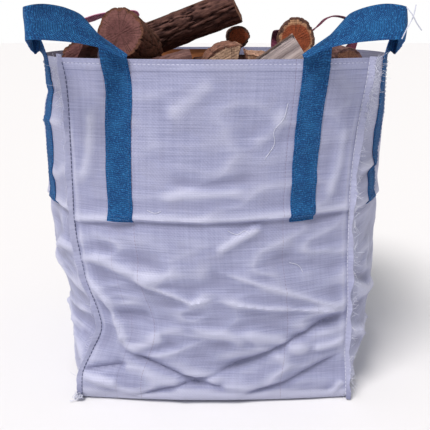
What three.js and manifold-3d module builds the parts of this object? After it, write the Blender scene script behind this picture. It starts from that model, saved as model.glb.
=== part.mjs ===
// A small woven bulk bag of split firewood: an open bag of woven polypropylene, sewn from one
// U-shaped piece and two side panels, with a lifting loop of webbing across each corner, filled
// and heaped with split logs. Millimetres, +Z up, the front faces -Y. The origin is the middle
// of the flat base.
import * as THREE from 'three';
import { mergeVertices } from 'three/addons/utils/BufferGeometryUtils.js';
import Module from 'manifold-3d';

const wasm = await Module();
wasm.setup();

// ---- driving dimensions -------------------------------------------------------------------
const HEIGHT = 716;              // base to rim
const CLOTH = 3;                 // a panel and its slack, as a solid wall
const FOLD_RADIUS = 22;          // where the front and back turn into the base
const WEBBING_WIDTH = 52;
const WEBBING_THICKNESS = 3;
const LEG_END = 414;             // height at which the sewn legs of the loops end
const LEG_CENTRE = 0.63;         // a leg's middle, as a share of a panel's half width
const WALL_GAP = 2.0;            // clear space between a panel and the webbing on it
const RESTING_GAP = 0.4;         // clear space left under a log where it rests
const LOG_LENGTH = 262;

// Profiles up the height of the bag: [height, distance] stations joined by a smooth curve.
const FRONT_LEFT_SEAM = [[0, 287], [65, 282], [115, 260], [175, 238], [285, 266], [406, 280],
  [560, 278], [676, 279], [716, 285]];
const FRONT_RIGHT_SEAM = [[0, 283], [120, 275], [216, 275], [380, 267], [511, 267], [580, 272],
  [657, 282], [716, 287]];
const BACK_SEAM = [[0, 285], [120, 270], [350, 272], [560, 276], [716, 284]];
const SEAM_DEPTH = [[0, 284], [120, 276], [350, 277], [560, 279], [716, 282]];
const FRONT_BULGE = [[0, 28], [100, 48], [250, 72], [450, 80], [716, 76]];
const SIDE_BULGE = [[0, 25], [55, 58], [110, 78], [250, 100], [450, 104], [600, 102], [716, 88]];

// ---- finishes -----------------------------------------------------------------------------
const finish = (name, color, roughness) => {
  const material = new THREE.MeshStandardMaterial({ color, roughness, metalness: 0 });
  material.name = name;
  return material;
};
const wovenCloth = finish('woven_polypropylene', 0xb4b8d2, 0.55);
const blueWebbing = finish('blue_webbing', 0x1f64a4, 0.5);
const pinkWebbing = finish('pink_webbing', 0xc0759a, 0.5);
const crimsonWebbing = finish('crimson_webbing', 0x6d2a44, 0.5);
const bark = finish('bark', 0x5b4138, 0.9);
const splitWood = finish('split_wood', 0x9a745c, 0.8);

// ---- curves and shells --------------------------------------------------------------------

/** Value at height z of a smooth curve through [height, value] stations. */
function follow(stations, z) {
  const last = stations.length - 1;
  let i = 0;
  while (i < last - 1 && z > stations[i + 1][0]) i += 1;
  const slope = (k) => {
    const low = stations[Math.max(k - 1, 0)];
    const high = stations[Math.min(k + 1, last)];
    return (high[1] - low[1]) / (high[0] - low[0]);
  };
  const [z0, v0] = stations[i];
  const [z1, v1] = stations[i + 1];
  const span = z1 - z0;
  const t = THREE.MathUtils.clamp((z - z0) / span, 0, 1);
  const rise = slope(i) * span * t * (1 - t) * (1 - t) - slope(i + 1) * span * t * t * (1 - t);
  return v0 + (v1 - v0) * t * t * (3 - 2 * t) + rise;
}

/**
 * A closed sheet: a box grid laid on outer(u, v), with u and v from 0 to 1, and its other side
 * set back along the surface's own normal. The sheet must face out along du x dv.
 */
function sheet(outer, columns, rows, thickness) {
  const geometry = new THREE.BoxGeometry(1, 1, 1, columns, rows, 1);
  const position = geometry.getAttribute('position');
  const step = 1e-3;
  for (let i = 0; i < position.count; i += 1) {
    const u = position.getX(i) + 0.5;
    const v = position.getY(i) + 0.5;
    const point = outer(u, v);
    if (position.getZ(i) < 0) {
      const alongU = outer(Math.min(u + step, 1), v).sub(outer(Math.max(u - step, 0), v));
      const alongV = outer(u, Math.min(v + step, 1)).sub(outer(u, Math.max(v - step, 0)));
      point.addScaledVector(alongU.cross(alongV).normalize(), -thickness);
    }
    position.setXYZ(i, point.x, point.y, point.z);
  }
  return geometry;
}

/** Point on the outside of the front (end -1) or back (end 1) wall; u runs from -1 to 1 in x. */
function endWall(end, u, z) {
  const left = follow(end < 0 ? FRONT_LEFT_SEAM : BACK_SEAM, z);
  const right = follow(end < 0 ? FRONT_RIGHT_SEAM : BACK_SEAM, z);
  const x = THREE.MathUtils.lerp(-left, right, (u + 1) / 2);
  const depth = follow(SEAM_DEPTH, z) + follow(FRONT_BULGE, z) * (1 - u * u);
  return new THREE.Vector3(x, end * depth, z);
}

/** Point on the outside of the left (side -1) or right (side 1) wall; w runs from -1 to 1 in y. */
function sideWall(side, w, z) {
  const front = follow(side < 0 ? FRONT_LEFT_SEAM : FRONT_RIGHT_SEAM, z);
  const back = follow(BACK_SEAM, z);
  const reach = THREE.MathUtils.lerp(front, back, (w + 1) / 2) + follow(SIDE_BULGE, z) * (1 - w * w);
  return new THREE.Vector3(side * reach, w * follow(SEAM_DEPTH, z), z);
}

/** Half of the panels' width that is cloth at height z: a little is left open for the seams. */
const seamShare = (z) => 0.985 + 0.009 * THREE.MathUtils.smoothstep(z, 0, 220);

/** The U-shaped piece at u across and at s along, from the front rim (0) to the back rim (1). */
function uPiece(u, s) {
  const wallShare = 0.38;
  const foldShare = 0.03;
  const end = s < 0.5 ? -1 : 1;
  const t = s < 0.5 ? s : 1 - s;
  const across = (z) => (u * 2 - 1) * seamShare(z);
  if (t <= wallShare) {
    const z = THREE.MathUtils.lerp(HEIGHT, FOLD_RADIUS, t / wallShare);
    return endWall(end, across(z), z);
  }
  const angle = (Math.min((t - wallShare) / foldShare, 1) * Math.PI) / 2;
  const z = FOLD_RADIUS * (1 - Math.sin(angle));
  const point = endWall(end, across(z), z);
  point.y -= end * FOLD_RADIUS * (1 - Math.cos(angle));
  const edge = wallShare + foldShare;
  if (t > edge) point.y *= (0.5 - t) / (0.5 - edge);
  const w = Math.min(Math.abs(point.y) / follow(SEAM_DEPTH, 0), 1);
  point.x *= 1 + (SIDE_BULGE[0][1] / FRONT_LEFT_SEAM[0][1]) * (1 - w * w);
  return point;
}

/** A row of parameter values in which equal grid steps give each stretch its own share of rows. */
function stretches(marks, counts) {
  const values = [];
  counts.forEach((count, i) => {
    for (let k = 0; k < count; k += 1) {
      values.push(THREE.MathUtils.lerp(marks[i], marks[i + 1], k / count));
    }
  });
  values.push(marks[marks.length - 1]);
  return (t) => {
    const place = t * (values.length - 1);
    const i = Math.min(Math.floor(place), values.length - 2);
    return THREE.MathUtils.lerp(values[i], values[i + 1], place - i);
  };
}

// ---- the bag ------------------------------------------------------------------------------
const bag = new THREE.Group();

function addPanels() {
  const rowCounts = [13, 3, 8, 3, 13];
  const along = stretches([0, 0.38, 0.41, 0.59, 0.62, 1], rowCounts);
  const rows = rowCounts.reduce((sum, count) => sum + count, 0);
  const body = new THREE.Mesh(sheet((u, v) => uPiece(u, 1 - along(v)), 16, rows, CLOTH), wovenCloth);
  body.name = 'u_panel';
  bag.add(body);
  for (const side of [-1, 1]) {
    const wall = (u, v) => {
      const z = v * HEIGHT;
      return sideWall(side, side * (u * 2 - 1) * seamShare(z), z);
    };
    const panel = new THREE.Mesh(sheet(wall, 16, 13, CLOTH), wovenCloth);
    panel.name = side < 0 ? 'side_panel_left' : 'side_panel_right';
    bag.add(panel);
  }
}

// ---- lifting loops ------------------------------------------------------------------------

/** Outside point of a wall pushed out by offset; the leg's two edges lie at share -/+ half width. */
function legPoint(wall, share, z, offset) {
  const step = 1e-3;
  const point = wall(share, z);
  const across = wall(share + step, z).sub(wall(share - step, z));
  const up = wall(share, z + 1).sub(wall(share, z - 1));
  const normal = across.cross(up).normalize();
  if (normal.x * point.x + normal.y * point.y < 0) normal.negate();
  return point.addScaledVector(normal, offset);
}

/** The two edges of a sewn leg, from its lower end up to the rim, as pairs of points. */
function legPairs(wall, firstShare, secondShare) {
  const heights = [LEG_END, 490, 566, 642, 690, HEIGHT - 6];
  const offset = WALL_GAP + WEBBING_THICKNESS;
  return heights.map((z) => [legPoint(wall, firstShare, z, offset),
    legPoint(wall, secondShare, z, offset)]);
}

/**
 * A loop of webbing. sideX and endY are the signs of its corner. free holds the loose stretch
 * from the end leg to the side leg, as pairs of edge points [x, y, z, x, y, z] that are given for
 * the left front corner's signs and mirrored to the others.
 */
function addLoop(name, material, sideX, endY, free) {
  const halfShare = WEBBING_WIDTH / 2 / 292;
  const endLeg = (u, z) => endWall(endY, u * sideX, z);
  const sideLeg = (w, z) => sideWall(sideX, w * endY, z);
  const inner = LEG_CENTRE - halfShare;
  const outer = LEG_CENTRE + halfShare;
  const first = legPairs(endLeg, inner, outer);
  const last = legPairs(sideLeg, inner, outer).reverse();
  const loose = free.map(([ax, ay, az, bx, by, bz]) => [
    new THREE.Vector3(ax * sideX, ay * endY, az), new THREE.Vector3(bx * sideX, by * endY, bz)]);
  const pairs = [...first, ...loose, ...last];
  const edges = [0, 1].map((k) => new THREE.CatmullRomCurve3(pairs.map((pair) => pair[k])));
  const facing = sideX * endY;
  const surface = (u, v) => {
    const t = facing < 0 ? v : 1 - v;
    return edges[0].getPoint(t).lerp(edges[1].getPoint(t), u);
  };
  const rows = (pairs.length - 1) * 2;
  const geometry = sheet(surface, 1, rows, WEBBING_THICKNESS);
  const loop = new THREE.Mesh(geometry, material);
  loop.name = name;
  bag.add(loop);
}

// Both front loops lean out and forward over their corner: each band leaves its leg over a
// slanting fold, and turns sharply at the tip. The back left loop has fallen inwards onto the
// logs; the back right one stands in a low arch.
const LEANING_OUT = [
  [156, 341, 718, 206, 333, 752],
  [153, 346, 723, 203, 341, 757],
  [158, 352, 719, 210, 350, 764],
  [190, 366, 734, 226, 364, 789],
  [226, 395, 744, 248, 390, 801],
  [262, 425, 749, 274, 420, 806],
  [288, 444, 751, 291, 438, 804],
  [298, 446, 751, 299, 438, 802],
  [304, 434, 750, 306, 424, 801],
  [318, 380, 744, 322, 362, 796],
  [336, 300, 734, 341, 285, 786],
  [352, 214, 722, 355, 226, 775],
  [362, 160, 718, 361, 210, 769],
  [357, 154, 723, 356, 205, 772],
  [351, 156, 718, 348, 205, 766],
];
const FALLEN_IN = [
  [155, 347, 736, 207, 338, 736],
  [157, 334, 756, 209, 326, 756],
  [168, 290, 770, 222, 290, 768],
  [180, 210, 782, 234, 225, 776],
  [188, 150, 790, 240, 194, 782],
  [184, 138, 798, 236, 186, 790],
  [190, 134, 806, 242, 184, 796],
  [230, 130, 806, 262, 182, 796],
  [300, 134, 795, 302, 186, 785],
  [340, 142, 776, 340, 194, 770],
  [354, 152, 742, 352, 204, 740],
];
const LOW_ARCH = [
  [155, 346, 736, 207, 338, 736],
  [158, 328, 757, 210, 324, 757],
  [176, 270, 760, 226, 282, 760],
  [196, 200, 754, 240, 236, 758],
  [222, 160, 752, 252, 210, 762],
  [256, 150, 772, 262, 202, 776],
  [276, 148, 790, 278, 200, 790],
  [304, 148, 796, 306, 200, 794],
  [340, 150, 783, 341, 202, 780],
  [355, 153, 750, 353, 205, 748],
];

function addLoops() {
  addLoop('loop_front_left', blueWebbing, -1, -1, LEANING_OUT);
  addLoop('loop_front_right', blueWebbing, 1, -1, LEANING_OUT);
  addLoop('loop_back_left', pinkWebbing, -1, 1, FALLEN_IN);
  addLoop('loop_back_right', crimsonWebbing, 1, 1, LOW_ARCH);
}

// ---- logs ---------------------------------------------------------------------------------

/** Cross-section of a log: an arc of bark, closed by nothing, one or two split faces. */
function section(kind, radius, wobble) {
  const sweep = { round: 360, half: 176, quarter: 104 }[kind] * THREE.MathUtils.DEG2RAD;
  const steps = { round: 13, half: 8, quarter: 5 }[kind];
  const points = [];
  for (let i = 0; i <= steps; i += 1) {
    const angle = (sweep * i) / steps;
    const r = radius * (1 + 0.03 * Math.sin(2 * angle + wobble) + 0.02 * Math.sin(3 * angle - wobble));
    points.push(new THREE.Vector2(r * Math.cos(angle), r * Math.sin(angle)));
  }
  if (kind === 'round') points.pop();
  if (kind === 'quarter') points.push(new THREE.Vector2(-0.08 * radius, -0.05 * radius));
  const middle = points.reduce((sum, p) => sum.add(p), new THREE.Vector2()).divideScalar(points.length);
  return new THREE.Shape(points.map((p) => p.sub(middle)));
}

/**
 * A log with its middle at the origin and its length along X. roll turns it about its length,
 * pitch lifts its +X end, heading turns it about the vertical. Angles in degrees.
 */
function makeLog({ kind, radius, length = LOG_LENGTH, at, heading = 0, pitch = 0, roll = 0 }, index) {
  const geometry = new THREE.ExtrudeGeometry(section(kind, radius, index * 1.7),
    { depth: length, steps: 1, bevelEnabled: false });
  geometry.translate(0, 0, -length / 2);
  geometry.rotateY(Math.PI / 2);
  const log = new THREE.Mesh(geometry, kind === 'round' ? bark : splitWood);
  log.name = `log_${kind}_${String(index + 1).padStart(2, '0')}`;
  const rad = THREE.MathUtils.DEG2RAD;
  log.rotation.set(roll * rad, -pitch * rad, heading * rad, 'ZYX');
  log.position.set(...at);
  log.updateMatrixWorld(true);
  return log;
}

/** A mesh's geometry in place, as a solid that can be tested against others. */
function solidOf(mesh, lift = 0) {
  const placed = mesh.geometry.clone().applyMatrix4(mesh.matrixWorld);
  placed.translate(0, 0, lift);
  placed.deleteAttribute('normal');
  placed.deleteAttribute('uv');
  const merged = mergeVertices(placed, 1e-3);
  return new wasm.Manifold(new wasm.Mesh({
    numProp: 3,
    vertProperties: new Float32Array(merged.getAttribute('position').array),
    triVerts: new Uint32Array(merged.getIndex().array),
  }));
}

/**
 * Lifts a log straight up until it is clear of the pile, then lowers it until it rests there. A
 * wedged log is held from its sides, so it goes no lower than its place.
 */
function settle(log, pile, wedged) {
  const start = solidOf(log);
  const clear = (lift) => {
    const solid = start.translate([0, 0, lift]);
    return !pile.some((other) => solid.intersect(other).volume() > 1e-3);
  };
  const step = 4;
  const lowest = wedged ? 0 : -HEIGHT;
  let free = 0;
  while (!clear(free)) free += step;
  while (free - step >= lowest && clear(free - step)) free -= step;
  let blocked = Math.max(free - step, lowest);
  while (free - blocked > 0.1) {
    const middle = (free + blocked) / 2;
    if (clear(middle)) free = middle;
    else blocked = middle;
  }
  log.position.z += free + RESTING_GAP;
  log.updateMatrixWorld(true);
  pile.push(solidOf(log));
}

/**
 * Logs of one level: two rows of count logs side by side, lying along Y or along X. The middle
 * logs of a row reach further out, into the belly of the wall.
 */
function level(count, radius, z, alongY, belly) {
  const spread = 2.18 * radius;
  const logs = [];
  for (const row of [-1, 1]) {
    for (let i = 0; i < count; i += 1) {
      const across = (i - (count - 1) / 2) * spread;
      const along = row * (LOG_LENGTH / 2 + 5 + belly * (1 - Math.abs(across) / 190));
      const at = alongY ? [across, along, z] : [along, across, z];
      const turn = 0.8 * Math.sin(logs.length * 2.4 + z);
      logs.push({ kind: 'round', radius, at, heading: (alongY ? 90 : 0) + turn });
    }
  }
  return logs;
}

const LOGS_BELOW = [
  ...level(3, 68, 90, true, 10),
  ...level(3, 68, 240, false, 30),
  ...level(4, 60, 360, true, 36),
  ...level(4, 60, 480, false, 40),
];
// The upper logs, from the lowest up.
const UPPER_LOGS = [
  { kind: 'round', radius: 46, at: [106, -148, 580], heading: 90 },
  { kind: 'round', radius: 48, at: [212, -138, 580], heading: 91 },
  { kind: 'half', radius: 54, at: [-140, -140, 580], heading: 89, roll: 180 },
  { kind: 'round', radius: 50, at: [-15, -64, 580], heading: 90 },
  { kind: 'round', radius: 54, at: [-172, 148, 580], heading: 92 },
  { kind: 'half', radius: 56, at: [-60, 206, 580], heading: 88, roll: 200 },
  { kind: 'round', radius: 50, at: [58, 200, 580], heading: 92 },
  { kind: 'quarter', radius: 72, at: [172, 146, 580], heading: 88, roll: 220 },
  { kind: 'round', radius: 43, at: [-303, 0, 590], heading: 90 },
  { kind: 'round', radius: 42, at: [305, 0, 590], heading: 90 },
  { kind: 'half', radius: 44, at: [62, -222, 648], pitch: 34, wedged: true },
  { kind: 'round', radius: 37, at: [-136, -172, 672], heading: 6, pitch: 14, length: 190,
    wedged: true },
  { kind: 'half', radius: 46, at: [-284, 20, 680], heading: 93, roll: 150 },
  { kind: 'round', radius: 35, at: [288, 10, 680], heading: 88 },
  { kind: 'round', radius: 42, at: [42, 124, 690], heading: 12, length: 190 },
  { kind: 'half', radius: 46, at: [-128, 232, 680], heading: 2, roll: 10 },
  { kind: 'quarter', radius: 54, at: [140, 224, 680], heading: -3, roll: 70, length: 240 },
  { kind: 'round', radius: 51, at: [-175, -98, 738], heading: 84, pitch: -11, length: 210,
    wedged: true },
  { kind: 'half', radius: 40, at: [-278, -130, 716], heading: 92, roll: 20, wedged: true },
  { kind: 'quarter', radius: 62, at: [6, -90, 716], heading: 92, roll: 98, wedged: true },
  { kind: 'half', radius: 38, at: [96, -60, 698], heading: 88, roll: -82, wedged: true },
  { kind: 'round', radius: 45, at: [182, 18, 745], heading: 84, wedged: true },
  { kind: 'round', radius: 33, at: [258, -75, 702], heading: 92, wedged: true },
  { kind: 'round', radius: 30, at: [56, 208, 745], heading: 90, length: 200, wedged: true },
  { kind: 'half', radius: 55, at: [-68, 84, 757], heading: -8, pitch: 20, roll: 240, wedged: true },
];

function addLogs() {
  bag.updateMatrixWorld(true);
  const pile = bag.children.map((mesh) => solidOf(mesh));
  [...LOGS_BELOW, ...UPPER_LOGS].forEach((log, index) => {
    const mesh = makeLog(log, index);
    settle(mesh, pile, log.wedged ?? false);
    bag.add(mesh);
  });
}

addPanels();
addLoops();
addLogs();

export default bag;
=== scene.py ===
"""Looks of an open bulk bag of woven polypropylene, filled and heaped with split firewood.

The bag is a U-shaped piece of cloth, which is its front, base and back, with a panel sewn into
each side. Four loops of flat webbing are sewn down its corners. Lengths in this file are in
millimetres until a mesh is made, with X across the front, Y towards the back and Z up.
"""

import logging
import math
from collections.abc import Sequence
from dataclasses import dataclass, field
from enum import Enum

import bpy
import numpy as np
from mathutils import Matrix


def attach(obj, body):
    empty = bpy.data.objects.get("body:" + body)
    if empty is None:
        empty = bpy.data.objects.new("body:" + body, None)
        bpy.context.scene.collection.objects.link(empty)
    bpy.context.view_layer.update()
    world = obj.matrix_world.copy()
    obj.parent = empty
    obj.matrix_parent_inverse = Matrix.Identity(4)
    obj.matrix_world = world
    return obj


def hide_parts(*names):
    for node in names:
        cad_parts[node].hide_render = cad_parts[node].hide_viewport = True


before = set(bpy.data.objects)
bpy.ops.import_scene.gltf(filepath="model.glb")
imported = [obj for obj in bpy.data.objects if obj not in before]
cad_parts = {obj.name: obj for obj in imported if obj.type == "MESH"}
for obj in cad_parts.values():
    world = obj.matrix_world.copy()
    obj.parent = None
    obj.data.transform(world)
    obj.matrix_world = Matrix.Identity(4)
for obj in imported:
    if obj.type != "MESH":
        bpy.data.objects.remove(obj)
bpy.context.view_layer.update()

log = logging.getLogger("bulk_bag")
MM = 0.001
BODY = "root"
HEM_FOLD = 695.0  # height of the hem's lower edge
HEM_STITCHES = 707.0  # height of the row of stitches that holds it

Material = bpy.types.Material
Node = bpy.types.Node
NodeTree = bpy.types.NodeTree
Piece = bpy.types.Object
Socket = bpy.types.NodeSocket
Array = np.ndarray
Colour = tuple[float, float, float, float]
Stations = Sequence[tuple[float, float]]


# ---- small helpers ------------------------------------------------------------------------


def linear(hex_code: str) -> Colour:
    """Turns an sRGB colour into the linear one that shaders work in.

    Args:
        hex_code: colour as #rrggbb.

    Returns:
        Linear red, green, blue and an alpha of one.
    """
    channels = [int(hex_code[i : i + 2], 16) / 255 for i in (1, 3, 5)]
    curve = [c / 12.92 if c <= 0.04045 else ((c + 0.055) / 1.055) ** 2.4 for c in channels]
    return (curve[0], curve[1], curve[2], 1.0)


def add_node(tree: NodeTree, kind: str, inputs: dict | None = None, **settings) -> Node:
    """Adds one node to a material.

    Args:
        tree: node tree that it goes into.
        kind: the node's type, without its ShaderNode prefix.
        inputs: by socket name or number, either a value or the node or socket to link from.
        **settings: the node's own properties.

    Returns:
        The new node.
    """
    node = tree.nodes.new("ShaderNode" + kind)
    for name, value in settings.items():
        setattr(node, name, value)
    for key, value in (inputs or {}).items():
        if isinstance(key, int):
            socket = node.inputs[key]
        else:
            socket = next(s for s in node.inputs if s.enabled and s.name == key)
        if isinstance(value, Node):
            value = next(s for s in value.outputs if s.enabled)
        if isinstance(value, Socket):
            tree.links.new(value, socket)
        else:
            socket.default_value = value
    return node


def start_material(name: str) -> tuple[Material, NodeTree]:
    """Makes a material with an empty node tree, and returns both.

    Args:
        name: the material's name.

    Returns:
        The material and its node tree.
    """
    material = bpy.data.materials.new(name)
    material.use_nodes = True
    material.node_tree.nodes.clear()
    return material, material.node_tree


def cut_in_mm(tree: NodeTree) -> Node:
    """Adds the nodes that read a piece's cut coordinates, and returns the one that holds them in mm."""
    uv = add_node(tree, "UVMap", uv_map="cut")
    return add_node(tree, "VectorMath", {0: uv, 1: (1000, 1000, 0)}, operation="MULTIPLY")


def corner_name(side_x: int, end_y: int) -> str:
    """Names a corner of the bag from the signs of its place."""
    return f"{'front' if end_y < 0 else 'back'}_{'left' if side_x < 0 else 'right'}"


def smoothstep(low: float, high: float, value: Array) -> Array:
    """Rises smoothly from 0 at low to 1 at high."""
    t = np.clip((value - low) / (high - low), 0, 1)
    return t * t * (3 - 2 * t)


def lattice_noise(points: Array, seed: int) -> Array:
    """Smooth random values from -1 to 1 at points that are given in cells of the pattern.

    Args:
        points: array that ends in three coordinates.
        seed: picks the pattern.

    Returns:
        One value for each point.
    """
    cell = np.floor(points).astype(np.int64)
    t = points - cell
    t = t * t * (3 - 2 * t)
    total = np.zeros(points.shape[:-1])
    for corner in np.ndindex(2, 2, 2):
        at = cell + np.array(corner)
        code = at[..., 0] * 73856093 ^ at[..., 1] * 19349663 ^ at[..., 2] * 83492791
        code = (code ^ (seed * 40503 + 977)) & 0xFFFFFFFF
        code = ((code ^ (code >> 15)) * 1103515245) & 0xFFFFFFFF
        code = ((code ^ (code >> 13)) * 668265263) & 0xFFFFFFFF
        value = ((code >> 8) & 0xFFFF) / 32767.5 - 1
        total += value * np.prod(np.where(corner, t, 1 - t), axis=-1)
    return total


def fractal(points: Array, size: float | Sequence[float], seed: int, octaves: int = 4) -> Array:
    """Noise with finer and finer layers.

    Args:
        points: places, in mm.
        size: size of the coarsest cells in mm, the same or one for each axis.
        seed: picks the pattern.
        octaves: number of layers, each half the size and half the strength of the last.

    Returns:
        Values of roughly -1 to 1.
    """
    scaled = points / np.asarray(size, float)
    total = np.zeros(points.shape[:-1])
    for layer in range(octaves):
        total += lattice_noise(scaled * 2**layer, seed + layer) * 0.5**layer
    return total


def follow(stations: Stations, height: Array) -> Array:
    """Reads a value off a smooth curve through (height, value) stations.

    Args:
        stations: pairs of height and value, rising.
        height: heights to read at.

    Returns:
        The value at each height.
    """
    h, v = np.array(stations, float).T
    last = len(h) - 1
    ahead = np.minimum(np.arange(last + 1) + 1, last)
    behind = np.maximum(np.arange(last + 1) - 1, 0)
    slope = (v[ahead] - v[behind]) / (h[ahead] - h[behind])
    z = np.clip(height, h[0], h[-1])
    i = np.clip(np.searchsorted(h, z, side="right") - 1, 0, last - 1)
    span = h[i + 1] - h[i]
    t = (z - h[i]) / span
    bend = slope[i] * span * t * (1 - t) ** 2 - slope[i + 1] * span * t * t * (1 - t)
    return v[i] + (v[i + 1] - v[i]) * t * t * (3 - 2 * t) + bend


def unit(vectors: Array) -> Array:
    """The same directions, one long."""
    return vectors / np.maximum(np.linalg.norm(vectors, axis=-1, keepdims=True), 1e-9)


def box_blur(values: Array, radius: int) -> Array:
    """Averages a grid over a window of points that reaches radius rows and columns each way."""
    for axis in (0, 1):
        pad = [(0, 0)] * values.ndim
        pad[axis] = (radius + 1, radius)
        total = np.cumsum(np.pad(values, pad, mode="edge"), axis=axis)
        low = np.take(total, np.arange(values.shape[axis]), axis=axis)
        high = np.take(total, np.arange(2 * radius + 1, 2 * radius + 1 + values.shape[axis]), axis=axis)
        values = (high - low) / (2 * radius + 1)
    return values


def fold_depth(points: Array, outward: Array, radius: int, range_mm: float) -> Array:
    """How far each point of a cloth grid lies in a fold or out on one.

    Args:
        points: grid of points, in mm.
        outward: grid of directions out of the cloth.
        radius: reach of the window that a point is compared with, in rows and columns.
        range_mm: distance in mm that counts as fully in or out.

    Returns:
        From 0 on a ridge, through 0.5, to 1 in a valley.
    """
    around = box_blur(box_blur(points, radius), radius)
    inward = ((around - points) * outward).sum(-1)
    return np.clip(0.5 + 0.5 * inward / range_mm, 0, 1)


def smooth_path(stations: Array, spacing: float, first: int = 0, last: int | None = None) -> Array:
    """Points on the centripetal curve through stations, whose rows may hold several edges at once.

    Args:
        stations: array of (stations, edges, 3).
        spacing: distance between points, in mm.
        first: station where the points start.
        last: station where they end, which is left out; the last one if None.

    Returns:
        Array of (points, edges, 3).
    """
    rows = []
    count = len(stations)
    for i in range(first, (count - 1) if last is None else last):
        p1, p2 = stations[i], stations[i + 1]
        p0 = stations[i - 1] if i > 0 else 2 * p1 - p2
        p3 = stations[i + 2] if i + 2 < count else 2 * p2 - p1
        gaps = [np.linalg.norm(b - a, axis=-1)[:, None] ** 0.5 for a, b in ((p0, p1), (p1, p2), (p2, p3))]
        gap0, gap1, gap2 = (np.maximum(g, 1e-4) for g in gaps)
        leave = ((p1 - p0) / gap0 - (p2 - p0) / (gap0 + gap1) + (p2 - p1) / gap1) * gap1
        arrive = ((p2 - p1) / gap1 - (p3 - p1) / (gap1 + gap2) + (p3 - p2) / gap2) * gap1
        steps = max(2, round(float(np.linalg.norm(p2 - p1, axis=-1).mean()) / spacing))
        t = (np.arange(steps) / steps)[:, None, None]
        cubic = 2 * (p1 - p2) + leave + arrive
        square = 3 * (p2 - p1) - 2 * leave - arrive
        rows.append(p1 + leave * t + square * t**2 + cubic * t**3)
    return np.concatenate(rows)


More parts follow.
